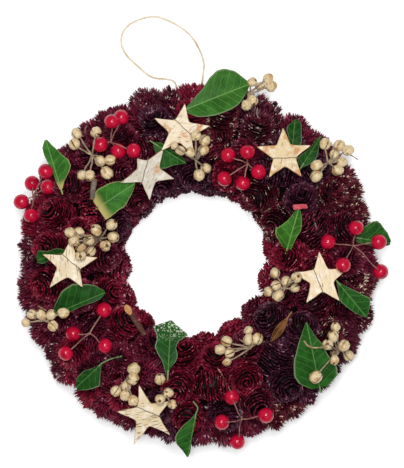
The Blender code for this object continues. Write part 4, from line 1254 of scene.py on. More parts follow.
@dataclass
class BirchStars:
    """Stars cut by hand from birch bark, each with one turn of wire."""

    radius: float = 24 * MM
    notch: float = 0.41
    thickness: float = 2.2 * MM
    cuts: int = 6
    wire_radius: float = 0.28 * MM
    wire_clear: float = 0.7 * MM
    wire_standoff: float = 2.4
    wire_wander: float = 0.2 * MM
    stars: tuple = (
        StarPlace((-13, 107.5), 82, (1.00, 1.05, 1.0, 1.00, 1.05), (0, 3), 20,
                  BarkFinish("birch_bark_blushed", blushed=0.42, marked=0.5)),
        StarPlace((70, 88.5), 92, (0.98, 1.02, 1.0, 1.0, 1.0), (1, 3), 75,
                  BarkFinish("birch_bark_tan", "#dfcba4", blushed=0.5, marked=0.2)),
        StarPlace((-39.5, 75), 57, (0.98, 0.62, 1.05, 1.0, 0.96), (0, 2), 60,
                  BarkFinish("birch_bark_grey", "#d3cabb", "#a99c86", "#e6e1d6", marked=0.35)),
        StarPlace((-103, 0), 86, (0.95, 1.0, 1.05, 0.95, 1.05), (0, 3), 90,
                  BarkFinish("birch_bark_pale", "#e6d9bd", blushed=0.35, marked=0.65)),
        StarPlace((100, -11.5), 94, (1.0, 0.98, 1.0, 1.0, 1.0), (0, 2), 95,
                  BarkFinish("birch_bark_cream", "#ead8b8", blushed=0.15)),
        StarPlace((-40.5, -120), 103, (1.1, 1.05, 1.2, 1.1, 0.98), (0, 3), 10,
                  BarkFinish("birch_bark_cracked", "#e2d2b2", blushed=0.32, marked=0.6)),
    )

    def corners(self, star: StarPlace) -> list[Vector]:
        """Returns the outline's corners, tip after notch."""
        found = []
        for index, share in enumerate(star.arms):
            tip = math.radians(star.turn + 72 * index)
            notch = tip + math.radians(36)
            found.append(Vector((math.cos(tip), math.sin(tip), 0)) * self.radius * share)
            found.append(Vector((math.cos(notch), math.sin(notch), 0)) * self.radius * self.notch)
        return found

    def place(self, star: StarPlace, node: str) -> Matrix:
        """Returns the matrix from the star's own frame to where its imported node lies.

        Args:
            star: The star.
            node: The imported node's name.

        Returns:
            The star's place, its underside at the frame's zero.
        """
        surface = Surface([node])
        spot = plan(*star.centre)
        normal = surface.normal(spot.x, spot.y)
        top = surface.top(spot.x, spot.y)
        spot.z = top - self.thickness / normal.z
        lean = Vector((0, 0, 1)).rotation_difference(normal).to_matrix().to_4x4()
        return Matrix.Translation(spot) @ lean

    def build_star(self, number: int, star: StarPlace) -> list[bpy.types.Object]:
        """Makes one star and its wire.

        Args:
            number: The star's number.
            star: Its place and bark.

        Returns:
            The star's and the wire's objects.
        """
        corners = self.corners(star)
        place = self.place(star, f"birch_star_{number + 1}")
        bm = bmesh.new()
        flat = bm.verts.layers.float_vector.new("flat")
        rim = bm.verts.layers.float.new("rim")
        bmesh.ops.create_circle(bm, cap_ends=True, cap_tris=True, segments=10, radius=1.0)
        for vert in bm.verts:
            if vert.is_boundary:
                vert.co = corners[round((math.degrees(math.atan2(vert.co.y, vert.co.x)) - 90) / 36) % 10]
        bmesh.ops.subdivide_edges(bm, edges=bm.edges[:], cuts=self.cuts, use_grid_fill=True)
        edge_verts = [vert for vert in bm.verts if vert.is_boundary]
        bmesh.ops.smooth_vert(bm, verts=edge_verts, factor=0.5, use_axis_x=True, use_axis_y=True)
        turn = Matrix.Rotation(math.radians(-star.grain), 3, "Z")
        for vert in bm.verts:
            if vert.is_boundary:
                vert.co += self.wobble(vert.co, number)
            vert[flat] = turn @ vert.co + Vector((number * 0.1, 0, 0))
            vert[rim] = 1.0 if vert.is_boundary else 0.0
            out = vert.co.length / self.radius
            vert.co.z = (noise.noise(vert.co * per(12) + Vector((0, 0, number * 7.0))) * 1.1 * out ** 2
                         + noise.noise(vert.co * per(3)) * 0.12) * MM
        grown = bmesh.ops.extrude_face_region(bm, geom=bm.faces[:])["geom"]
        raised = [item for item in grown if isinstance(item, bmesh.types.BMVert)]
        bmesh.ops.translate(bm, verts=raised, vec=(0, 0, self.thickness))
        sharp = [edge for edge in bm.edges if len(edge.link_faces) == 2 and edge.calc_face_angle(0) > 1.0
                 and abs(edge.link_faces[0].normal.z - edge.link_faces[1].normal.z) > 0.6]
        bmesh.ops.bevel(bm, geom=sharp, offset=0.22 * MM, segments=2, profile=0.5, affect="EDGES",
                        material=-1, clamp_overlap=True)
        bmesh.ops.transform(bm, matrix=place, verts=bm.verts)
        made = add_piece(f"bark_star_{number + 1}", bm, [star.bark],
                         [f"birch_star_{number + 1}"], 35.0)
        return [made, self.build_wire(number, star, corners, place)]

    def wobble(self, spot: Vector, number: int) -> Vector:
        """Returns how far a hand-held knife strayed at one place of the outline."""
        stray = noise.noise_vector(spot * per(7) + Vector((number * 3.1, 0, 0)))
        return Vector((stray.x, stray.y, 0)) * 0.55 * MM

    def build_wire(self, number: int, star: StarPlace, corners: Sequence[Vector],
                   place: Matrix) -> bpy.types.Object:
        """Makes the turn of wire through two of a star's notches.

        Args:
            number: The star's number.
            star: Its place and notches.
            corners: Its outline.
            place: Its matrix.

        Returns:
            The wire's object.
        """
        near_side, far_side = (corners[2 * k + 1] for k in star.notches)
        out = (near_side - far_side).normalized() * self.wire_clear * self.wire_standoff
        top = Vector((0, 0, self.thickness + self.wire_clear))
        under = Vector((0, 0, -self.wire_clear))
        half = Vector((0, 0, self.thickness / 2))
        across = Vector((-out.y, out.x, 0)).normalized()
        over = [near_side.lerp(far_side, k / 4) + top + across * self.wire_wander * (-1) ** k
                for k in (1, 2, 3)]
        loop = [near_side + out / 2 + top, *over, far_side - out / 2 + top, far_side - out + half,
                far_side - out / 2 + under, near_side + out / 2 + under, near_side + out + half,
                near_side + out / 2 + top]
        line = smooth_route(loop, 0.9 * MM)[:-1]
        bm = bmesh.new()
        append(bm, rod([place @ point for point in line], [self.wire_radius] * len(line), 8, closed=True))
        return add_piece(f"binding_wire_{number + 1}", bm, [WireFinish("annealed_iron_wire")],
                         [f"star_wire_{number + 1}"], 60.0)

    def build(self) -> list[bpy.types.Object]:
        """Makes every star with its wire."""
        return [piece for number, star in enumerate(self.stars) for piece in self.build_star(number, star)]


# ---------------------------------------------------------------- leaves

class LeafTone(enum.Enum):
    """The greens of the leaves."""

    DEEP = LeafFinish("salal_leaf_deep", "#0b330a", "#164a11", "#4f7a3c")
    MID = LeafFinish("salal_leaf_mid", "#10400c", "#1f5817", "#5f8d49")
    LIT = LeafFinish("salal_leaf_lit", "#1f5113", "#336a22", "#759f58")
    FRESH = LeafFinish("salal_leaf_fresh", "#1f4f0f", "#336c1e", "#79a652", "#93a45e", vein_step=7.5)
    PALE_ENDED = LeafFinish("salal_leaf_pale_ended", "#1f5413", "#347122", "#6d9856", "#9c9a66", ageing=0.95)
    DUSTED = LeafFinish("salal_leaf_dusted", "#0b380b", "#174e13", "#5a8648", "#8a9c78", frost=0.9)
    DRY = LeafFinish("dry_brown_leaf", "#4a2a17", "#74482a", "#a07448", "#8d653e", vein_step=5.0)


@dataclass
class LeafPlace:
    """One leaf: base, tip, width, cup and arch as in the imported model, then its looks and its outline."""

    node: str
    base: tuple[float, float]
    tip: tuple[float, float]
    width: float
    cup: float
    arch: float
    tone: LeafTone
    stalk: tuple = ()
    teeth: float = 0.0
    wave_mm: float = 0.6
    # Half widths at even steps from base to tip, left and right, as shares of half the width
    left: tuple[float, ...] = ()
    right: tuple[float, ...] = ()


@dataclass
class Leaves:
    """The preserved green leaves and one dry one, cupped, arched and veined."""

    length_steps: int = 30
    width_steps: int = 12
    thickness: float = 0.45 * MM
    stalk_radius: float = 0.65 * MM
    least: float = 0.015            # share of the width left at base and tip
    fullest: float = 0.55           # where a leaf with an even outline is widest
    full_shape: float = 0.8         # below 1 its ends are rounder
    places: tuple = (
        LeafPlace("salal_leaf_01", (-10, 125), (42.5, 146), 37, 0.10, 0.05, LeafTone.LIT,
                  left=(0.03, 0.2, 0.42, 0.62, 0.9, 1.07, 1.02, 0.78, 0.08),
                  right=(0.1, 0.48, 0.63, 0.72, 0.76, 0.73, 0.64, 0.4, 0.05)),
        LeafPlace("salal_leaf_02", (-109.5, 61), (-122, 101), 19, 0.16, 0.06, LeafTone.PALE_ENDED, (), 0.5,
                  left=(0.1, 0.2, 0.22, 0.2, 0.34, 0.46, 0.55, 0.5, 0.12),
                  right=(0.1, 0.45, 1.0, 1.4, 1.36, 0.98, 0.68, 0.35, 0.1)),
        LeafPlace("salal_leaf_03", (-80, 46), (-50, 66), 24, 0.08, 0.06, LeafTone.PALE_ENDED, (), 0.4,
                  left=(0.55, 0.95, 1.04, 0.99, 0.94, 0.85, 0.64, 0.38, 0.05),
                  right=(0.95, 0.98, 0.94, 0.91, 0.92, 0.8, 0.6, 0.35, 0.05)),
        LeafPlace("salal_leaf_04", (-34.5, 98), (-9, 82), 18, 0.10, 0.05, LeafTone.MID, (), 0.4,
                  left=(0.15, 0.35, 0.4, 0.36, 0.3, 0.3, 0.3, 0.25, 0.05),
                  right=(0.2, 0.5, 0.9, 1.35, 1.65, 1.3, 0.72, 0.38, 0.05)),
        LeafPlace("salal_leaf_05", (76.5, 92), (79, 117.5), 15, 0.10, 0.04, LeafTone.DEEP,
                  left=(0.2, 0.32, 0.38, 0.46, 0.6, 0.76, 0.8, 0.35, 0.05),
                  right=(0.6, 0.9, 0.92, 0.9, 0.86, 0.82, 0.77, 0.7, 0.3)),
        LeafPlace("salal_leaf_06", (84, 79), (100, 104), 12, 0.20, 0.08, LeafTone.DEEP, (), 0.4,
                  left=(0.4, 0.95, 0.96, 0.68, 0.48, 0.34, 0.35, 0.28, 0.05),
                  right=(0.2, 0.55, 0.95, 1.07, 1.0, 0.75, 0.42, 0.18, 0.05)),
        LeafPlace("salal_leaf_07", (72.5, 13), (82, 46), 19, 0.15, 0.10, LeafTone.FRESH, (), 0.4,
                  left=(0.35, 0.82, 1.28, 1.45, 1.0, 0.66, 0.46, 0.3, 0.08),
                  right=(0.3, 0.4, 0.44, 0.57, 0.68, 0.63, 0.5, 0.32, 0.08)),
        LeafPlace("salal_leaf_08", (129, 22), (156, 17.5), 20, 0.05, 0.05, LeafTone.MID, (), 0.5,
                  left=(0.5, 0.9, 1.2, 1.5, 1.66, 1.45, 1.1, 0.78, 0.25),
                  right=(0.3, 0.38, 0.42, 0.42, 0.42, 0.4, 0.35, 0.3, 0.12)),
        LeafPlace("salal_leaf_09", (113, -13.5), (136.5, -42), 20, 0.16, 0.06, LeafTone.MID,
                  left=(0.05, 0.2, 0.4, 0.62, 0.85, 1.05, 1.2, 0.75, 0.12),
                  right=(0.1, 0.3, 0.6, 0.84, 0.76, 0.64, 0.52, 0.32, 0.06)),
        LeafPlace("salal_leaf_10", (99, -99), (88, -46), 32, 0.12, 0.05, LeafTone.MID,
                  left=(0.4, 1.0, 1.15, 1.1, 0.96, 0.76, 0.54, 0.3, 0.03),
                  right=(0.4, 1.0, 1.06, 0.84, 0.7, 0.58, 0.32, 0.16, 0.03)),
        LeafPlace("salal_leaf_11", (-23.5, -88.5), (-21, -44.5), 26, 0.10, 0.05, LeafTone.DUSTED, (), 0.5,
                  left=(0.1, 0.25, 0.38, 0.69, 0.9, 0.8, 0.88, 1.08, 0.05),
                  right=(0.04, 0.1, 0.45, 0.54, 0.4, 0.52, 1.16, 0.55, 0.05)),
        LeafPlace("salal_leaf_12", (-1, -120), (-7.5, -155), 17, 0.16, 0.10, LeafTone.MID,
                  ((0.5, -115), (-3.2, -109.7)),
                  left=(0.1, 0.12, 0.1, 0.08, 0.06, 0.06, 0.1, 0.16, 0.05),
                  right=(0.1, 0.35, 0.78, 1.16, 1.44, 1.54, 1.3, 0.6, 0.08)),
        LeafPlace("salal_leaf_13", (-76.5, -79), (-97.5, -99), 18, 0.08, 0.05, LeafTone.DEEP,
                  ((-69, -75.5), (-60.5, -73.4)),
                  left=(0.06, 0.28, 0.62, 1.02, 1.34, 1.2, 0.92, 0.65, 0.32),
                  right=(0.04, 0.1, 0.22, 0.4, 0.62, 0.62, 0.62, 0.44, 0.06)),
        LeafPlace("salal_leaf_14", (-114, -39), (-74, -22), 29, 0.10, 0.07, LeafTone.DEEP,
                  left=(0.3, 0.65, 0.95, 1.07, 1.14, 0.99, 0.84, 0.58, 0.1),
                  right=(0.1, 0.2, 0.24, 0.22, 0.2, 0.22, 0.26, 0.24, 0.05)),
        LeafPlace("salal_leaf_15", (-105, 10.5), (-129, 4), 13, 0.10, 0.10, LeafTone.DEEP,
                  left=(0.2, 0.35, 0.42, 0.45, 0.48, 0.5, 0.56, 0.62, 0.3),
                  right=(0.3, 0.52, 0.72, 0.8, 0.72, 0.7, 0.98, 1.1, 0.3)),
        LeafPlace("dry_leaf", (74, -41), (59.5, -62), 7, 0.30, 0.05, LeafTone.DRY, wave_mm=0.8),
    )

    def half_width(self, share: float, leaf: LeafPlace, side: float) -> float:
        """Finds a leaf's half width along its length.

        Args:
            share: The place along it, 0 at the base and 1 at the tip.
            leaf: The leaf.
            side: Above 0 for its left half.

        Returns:
            The half width, as a share of half the leaf's width.
        """
        steps = leaf.left if side > 0 else leaf.right
        if steps:
            at = min(max(share, 0.0), 1.0) * (len(steps) - 1)
            low = min(int(at), len(steps) - 2)
            return steps[low] + (steps[low + 1] - steps[low]) * (at - low)
        power = math.log(0.5) / math.log(self.fullest)
        return max(self.least, math.sin(math.pi * min(max(share, 0.0), 1.0) ** power)) ** self.full_shape

    def rise(self, leaf: LeafPlace, u: float, v: float, long: float) -> float:
        """Returns the height of the cupped and arched blade over its own plane."""
        wide = self.half_width(u, leaf, v)
        return leaf.cup * abs(v) * wide * leaf.width * MM / 2 - leaf.arch * long * (2 * u - 1) ** 2

    def tilt(self, leaf: LeafPlace, start: Vector, along: Vector, across: Vector) -> Vector:
        """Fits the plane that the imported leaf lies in.

        Args:
            leaf: The leaf.
            start: The place of its base in plan.
            along: From base to tip in plan.
            across: To the widest edge in plan.

        Returns:
            The plane's slope along x and y, and its height at the leaf's middle.
        """
        surface = Surface([leaf.node])
        middle = start + along / 2
        rows = []
        for i in range(1, 12):
            for j in range(-3, 4):
                u, v = i / 12, j / 4
                spot = start + along * u + across * v * self.half_width(u, leaf, v)
                high = surface.top(spot.x, spot.y)
                if high is not None:
                    plane = high - self.rise(leaf, u, v, along.length)
                    rows.append((spot.x - middle.x, spot.y - middle.y, plane))
        normal = Matrix(((0.0,) * 3,) * 3)
        right = Vector((0, 0, 0))
        for dx, dy, high in rows:
            terms = Vector((dx, dy, 1.0))
            right += terms * high
            normal += Matrix([terms * value for value in terms])
        return normal.inverted() @ right

    def build_one(self, leaf: LeafPlace) -> bpy.types.Object:
        """Makes one leaf with its stalk.

        Args:
            leaf: Its place, shape and looks.

        Returns:
            The leaf's object.
        """
        start, end = plan(*leaf.base), plan(*leaf.tip)
        along = end - start
        across = Vector((-along.y, along.x, 0)).normalized() * leaf.width * MM / 2
        slope = self.tilt(leaf, start, along, across)
        seed = Vector((leaf.base[0], leaf.base[1], 0))
        bm = bmesh.new()
        blade = bm.verts.layers.float_vector.new("blade")
        bmesh.ops.create_grid(bm, x_segments=self.length_steps, y_segments=self.width_steps, size=0.5)
        for vert in bm.verts:
            u, v = vert.co.x + 0.5, vert.co.y * 2
            wide = self.half_width(u, leaf, v)
            ragged = 1 + 0.05 * noise.noise(seed + Vector((u * 5, math.copysign(3, v), 0)))
            ragged += leaf.teeth * 0.09 * abs(v) ** 6 * math.sin(u * 95)
            spot = start + along * u + across * v * wide * ragged
            offset = spot - start - along / 2
            fold = -0.5 * MM * math.exp(-(v * wide / 0.12) ** 2)
            vein = (u * along.length / MM - abs(v) * leaf.width * 0.4) * 0.97
            swell = 0.22 * MM * math.sin(vein) * (1 - abs(v))
            ripple = leaf.wave_mm * MM * abs(v) ** 2 * noise.noise(seed + Vector((u * 6, v * 1.5, 4.0)))
            height = self.rise(leaf, u, v, along.length) + fold + swell + ripple
            vert.co = Vector((spot.x, spot.y, slope.z + slope.x * offset.x + slope.y * offset.y + height))
            vert[blade] = (u * along.length / MM, v * wide * leaf.width / 2, v)
        top = bm.faces[:]
        bmesh.ops.recalc_face_normals(bm, faces=top)
        lower = bmesh.ops.extrude_face_region(bm, geom=top)["geom"]
        sunk = [item for item in lower if isinstance(item, bmesh.types.BMVert)]
        bmesh.ops.translate(bm, verts=sunk, vec=(0, 0, -self.thickness))
        self.add_stalk(bm, blade, leaf, start, along, slope)
        return add_piece(f"veined_{leaf.node}", bm, [leaf.tone.value], [leaf.node], 60.0)

    def add_stalk(self, bm: bmesh.types.BMesh, blade: bmesh.types.BMLayerItem, leaf: LeafPlace,
                  start: Vector, along: Vector, slope: Vector) -> None:
        """Adds the leaf's stalk, which runs on from the midrib.

        Args:
            bm: The leaf so far.
            blade: The layer that holds a point's place on the leaf.
            leaf: The leaf's place and the points of a longer stalk.
            start: The base in plan.
            along: From base to tip in plan.
            slope: The leaf's plane.
        """
        back = along.normalized()
        offset = -along / 2
        foot = slope.z + slope.x * offset.x + slope.y * offset.y - leaf.arch * along.length
        line = [Vector((start.x, start.y, foot - 0.4 * MM)) + back * 4 * MM + Vector((0, 0, 0.3 * MM)),
                Vector((start.x, start.y, foot - 0.4 * MM))]
        if leaf.stalk:
            line += [plan(x, y, foot + 0.5 * MM * k) for k, (x, y) in enumerate(leaf.stalk)]
        else:
            line.append(line[-1] - back * 4 * MM - Vector((0, 0, 2.0 * MM)))
        path = smooth_route(line, 1.2 * MM)
        for vert in append(bm, rod(path, [self.stalk_radius] * len(path), 6)):
            vert[blade] = (5.0, 0.0, 0.97)

    def build(self) -> list[bpy.types.Object]:
        """Makes every leaf."""
        return [self.build_one(leaf) for leaf in self.places]


# ---------------------------------------------------------------- berries and nuts

@dataclass
class Sprigs:
    """What berry and nut sprigs share: stems from a joint to each fruit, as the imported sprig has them."""

    stem_radius: float
    node: str                       # names with a place for the sprig's number
    fruit_piece: str
    stem_piece: str
    fruit_finish: Finish
    stem_finish: Finish
    fruit_slot: str
    stem_slot: str
    stem_lumps: tuple[float, float]     # size and depth in mm
    seed: int
    sprigs: tuple                   # the joint's place, then each fruit's, in mm
    arch_pieces: int = 3
    joint_swell: float = 1.9        # the joint's radius in stem radii

    def build(self) -> list[bpy.types.Object]:
        """Makes each sprig's fruits and its stems."""
        made = []
        for number, (joint_place, places) in enumerate(self.sprigs, start=1):
            name = self.node.format(number)
            surface = Surface([name])
            rng = random.Random(self.seed + number)
            joint = self.joint(surface, joint_place)
            fruits, stems = bmesh.new(), bmesh.new()
            fruits.verts.layers.float.new("scar")
            for place in places:
                self.grow(fruits, stems, surface, joint, place, rng)
            bmesh.ops.create_icosphere(stems, subdivisions=2, radius=self.joint_swell * self.stem_radius,
                                       matrix=Matrix.Translation(joint))
            roughen(stems.verts, *self.stem_lumps)
            made.append(add_piece(self.fruit_piece.format(number), fruits, [self.fruit_finish],
                                  [name], 80.0))
            made.append(add_piece(self.stem_piece.format(number), stems, [self.stem_finish],
                                  [name], 60.0))
        return made

    def grow(self, fruits: bmesh.types.BMesh, stems: bmesh.types.BMesh, surface: Surface, joint: Vector,
             place: tuple, rng: random.Random) -> None:
        """Adds one fruit and its stem.

        Args:
            fruits: The sprig's fruits so far.
            stems: The sprig's stems so far.
            surface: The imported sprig.
            joint: Where the stems meet.
            place: The fruit's place in mm, and its radius where they differ.
            rng: The sprig's own random numbers.
        """
        raise NotImplementedError

    def joint(self, surface: Surface, node: tuple[float, float]) -> Vector:
        """Returns the point where a sprig's stems meet."""
        spot = plan(*node)
        spot.z = surface.top(spot.x, spot.y) - 2 * self.stem_radius
        return spot

    def centre(self, surface: Surface, place: tuple[float, float], radius: float) -> Vector:
        """Returns the centre of a fruit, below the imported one's top."""
        spot = plan(*place)
        spot.z = surface.top(spot.x, spot.y) - radius
        return spot

    def stem(self, surface: Surface, joint: Vector, centre: Vector, rng: random.Random) -> list[Vector]:
        """Returns a stem's line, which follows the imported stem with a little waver.

        Args:
            surface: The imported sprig.
            joint: Where the stem starts.
            centre: The fruit that it ends in.
            rng: Gives the waver.

        Returns:
            Evenly spaced points.
        """
        share = 1 / self.arch_pieces
        knee = joint.lerp(centre, share)
        high = surface.top(knee.x, knee.y)
        rise = 0.0 if high is None else high - self.stem_radius - knee.z
        arch = max(0.0, rise / (4 * share * (1 - share)))
        points = []
        for k in range(self.arch_pieces + 1):
            s = k / self.arch_pieces
            points.append(joint.lerp(centre, s) + Vector((0, 0, 4 * arch * s * (1 - s))))
        side = Vector((centre.y - joint.y, joint.x - centre.x, 0)).normalized()
        for point in points[1:-1]:
            point += side * rng.uniform(-0.7, 0.7) * MM
        return smooth_route(points, 1.1 * MM)

    def fruit(self, bm: bmesh.types.BMesh, centre: Vector, radius: float, away: Vector, sides: int,
              lobes: int, lobe_depth: float, rng: random.Random) -> None:
        """Adds one fruit with its scar pointing away from its stem.

        Args:
            bm: The sprig's fruits so far.
            centre: The fruit's centre.
            radius: Its radius.
            away: The direction from its stem.
            sides: Its corners round the middle.
            lobes: How many lobes it swells into.
            lobe_depth: How deep the creases between them are, as a share of the radius.
            rng: Turns and squeezes each fruit a little differently.
        """
        layer = bm.verts.layers.float["scar"]
        rings = sides * 2 // 3
        made = bmesh.ops.create_uvsphere(bm, u_segments=sides, v_segments=rings, radius=1.0)["verts"]
        squeeze = 1 + rng.uniform(-0.05, 0.06) + (0.08 if lobes else 0.0)
        phase = rng.uniform(0, 6)
        seed = Vector((rng.uniform(0, 50), rng.uniform(0, 50), 0))
        for vert in made:
            level = vert.co.z
            turn = math.atan2(vert.co.y, vert.co.x)
            crease = abs(math.sin((turn + phase) * lobes / 2)) ** 0.5 if lobes else 1.0
            # The scar layer holds the scar at the pole and the creases between lobes; the creases' brown is
            # partly painted shade
            vert[layer] = max(0.0, (level - 0.87) / 0.13, (0.82 - crease) * 1.3)
            shrink = 1 - lobe_depth * (1 - crease) * math.sqrt(max(0.0, 1 - level * level))
            dimple = 1 - 0.10 * max(0.0, (-level - 0.86) / 0.14)
            lump = 1 + lobe_depth * 0.5 * noise.noise(vert.co * 1.8 + seed)
            wide = shrink * lump
            vert.co = Vector((vert.co.x * wide, vert.co.y * wide, vert.co.z * squeeze * dimple * lump))
        turned = away.to_track_quat("Z", "Y").to_matrix().to_4x4()
        turned = turned @ Matrix.Rotation(rng.uniform(0, 6), 4, "Z")
        place = Matrix.Translation(centre) @ turned @ Matrix.Scale(radius, 4)
        bmesh.ops.transform(bm, matrix=place, verts=made)


@dataclass
class RedBerries(Sprigs):
    """Lacquered berries on paper-covered wire."""

    stem_radius: float = 0.52 * MM
    node: str = "red_berry_sprig_{}"
    fruit_piece: str = "lacquered_berries_{}"
    stem_piece: str = "berry_wires_{}"
    fruit_finish: Finish = LacquerFinish("gloss_red_lacquer")
    stem_finish: Finish = TwigFinish("floral_paper_wire", "#6a3634", "#b08076", 0.8, 0.6)
    fruit_slot: str = "red_lacquer"
    stem_slot: str = "red_lacquer"
    stem_lumps: tuple[float, float] = (2.0, 0.12)
    seed: int = 39
    berry_radius: float = 6.2 * MM
    sides: int = 30
    dent: float = 0.03              # share of the radius
    sprigs: tuple = (
        ((-69.5, 99), ((-68.5, 115.5), (-61, 119), (-78, 97), (-63.5, 92), (-51, 92))),
        ((-132.5, 55), ((-122, 75.5), (-133.5, 66), (-120.5, 63), (-142, 51), (-134, 40))),
        ((41, 81.5), ((25, 88.5), (40.5, 91), (22, 69.5), (37, 66), (49.5, 75))),
        ((126, 15.5), ((128, 30), (105.5, 18.5), (146.5, 18.5), (117.5, 0), (148.5, -5.5))),
        ((-86.5, -55), ((-75, -36.5), (-100, -55.5), (-105.5, -71), (-74, -65))),
        ((36, -124.5), ((28, -106.5), (20, -126.5), (55.5, -121), (32.5, -143))),
    )

    def grow(self, fruits: bmesh.types.BMesh, stems: bmesh.types.BMesh, surface: Surface, joint: Vector,
             place: tuple, rng: random.Random) -> None:
        """Adds one round berry on its wire."""
        centre = self.centre(surface, place, self.berry_radius)
        line = self.stem(surface, joint, centre, rng)
        away = (centre - line[-4]).normalized()
        self.fruit(fruits, centre, self.berry_radius, away, self.sides, 0, self.dent, rng)
        append(stems, rod(line, [self.stem_radius] * len(line), 8))


@dataclass
class TallowNuts(Sprigs):
    """Tallow nuts on their own thin twigs."""

    stem_radius: float = 0.7 * MM
    node: str = "nut_sprig_{:02d}"
    fruit_piece: str = "tallow_nuts_{:02d}"
    stem_piece: str = "nut_twigs_{:02d}"
    fruit_finish: Finish = NutFinish("tallow_nut_wax")
    stem_finish: Finish = TwigFinish("tallow_twig", "#6e5847", "#b9a58c", 0.7, 0.75)
    fruit_slot: str = "tallow_nut"
    stem_slot: str = "twig_bark"
    stem_lumps: tuple[float, float] = (1.6, 0.3)
    seed: int = 59
    sides: int = 24
    crease: float = 0.2             # share of the radius
    swell: float = 1.05             # the lobes' radius in packed radii
    sprigs: tuple = (
        ((-84.5, 88.5), ((-97, 106, 4.2), (-98.5, 97.5, 4.5), (-81.5, 107, 4.5), (-92.5, 72.5, 4.2),
                         (-86, 72, 4.2), (-72.5, 74, 4.8), (-78, 84, 4.3), (-70, 84.5, 4.2))),
        ((-1, 84.5), ((-1, 104, 4.2), (6, 100.5, 4.5), (5, 92.5, 4.5), (-13.5, 92, 3.8), (-5.5, 90.5, 4),
                      (-18.5, 96, 3.2), (1.5, 72.5, 4.5), (7, 78, 4.2))),
        ((41.5, 138), ((44.5, 147.5, 3.8), (51, 144.5, 3.6), (57.5, 150.5, 4.2), (60, 144.5, 4.4),
                       (45, 133, 4.2), (40, 129, 4.2))),
        ((105.5, 82.5), ((103, 97.5, 4.6), (115, 96.5, 4.6), (122, 92.5, 4.4), (111, 88.5, 4.4),
                         (117, 83, 4.2), (113.5, 76.5, 4.6), (96.5, 80, 4.6), (96, 71.5, 4.7))),
        ((-79, 21), ((-102, 26, 4.2), (-95, 26, 4.2), (-99, 19.5, 4.2), (-93.5, 14, 4.3), (-93.5, 7.5, 4.3),
                     (-85.5, 11, 4), (-87, 20, 4.5), (-81, 28, 4.5), (-69, 32.5, 4.5), (-67.5, 22.5, 4.5),
                     (-74, 15.5, 4.5))),
        ((71, -18.5), ((63, -6.5, 4), (72, -13, 4), (80, -10, 4.3), (79, -18.5, 3.8), (63.5, -16.5, 3.8),
                       (57.5, -21.5, 4), (65.5, -24.5, 4.4))),
        ((-121, -45), ((-133, -40, 4), (-138, -46.5, 3.6), (-125.5, -40, 4.2), (-117.5, -40, 4.2),
                       (-116, -49, 4.2), (-107.5, -38.5, 4.2))),
        ((-57, -93), ((-51, -83.5, 5), (-51.5, -91.5, 5), (-57, -98, 4), (-58, -105, 4.2),
                      (-65.5, -101.5, 4.2), (-51.5, -109, 4.2))),
        ((-27.5, -101), ((-30, -92, 4.5), (-23, -103, 4.2), (-29.5, -108, 4.2), (-20, -112, 3.8))),
        ((42.5, -67), ((24, -61.5, 4.4), (18.5, -68, 4.2), (26, -70.5, 4.2), (24, -78, 3.4),
                       (41.5, -53, 3.6), (41.5, -60, 4.4), (48.5, -59.5, 4.4))),
        ((113.5, -68.5), ((111.5, -50, 3.8), (109.5, -57.5, 4.4), (105, -64, 4.4), (111, -69.5, 4.2),
                          (110.5, -76.5, 3.8), (118.5, -65, 4.4), (122.5, -73, 4.4), (95.5, -90, 5))),
    )

    def grow(self, fruits: bmesh.types.BMesh, stems: bmesh.types.BMesh, surface: Surface, joint: Vector,
             place: tuple, rng: random.Random) -> None:
        """Adds one lobed nut that nods a little, on its tapering twig."""
        x, y, radius = place
        centre = self.centre(surface, (x, y), radius * MM)
        line = self.stem(surface, joint, centre, rng)
        away = (centre - line[-3]).normalized()
        away += Vector((rng.uniform(-0.5, 0.5), rng.uniform(-0.5, 0.5), rng.uniform(-0.2, 0.9)))
        lobes = rng.choice((2, 3, 3))
        self.fruit(fruits, centre, radius * MM * self.swell, away.normalized(), self.sides, lobes,
                   self.crease, rng)
        radii = [self.stem_radius * (1.15 - 0.35 * k / len(line)) for k in range(len(line))]
        append(stems, rod(line, radii, 8))


# ---------------------------------------------------------------- twigs and bits

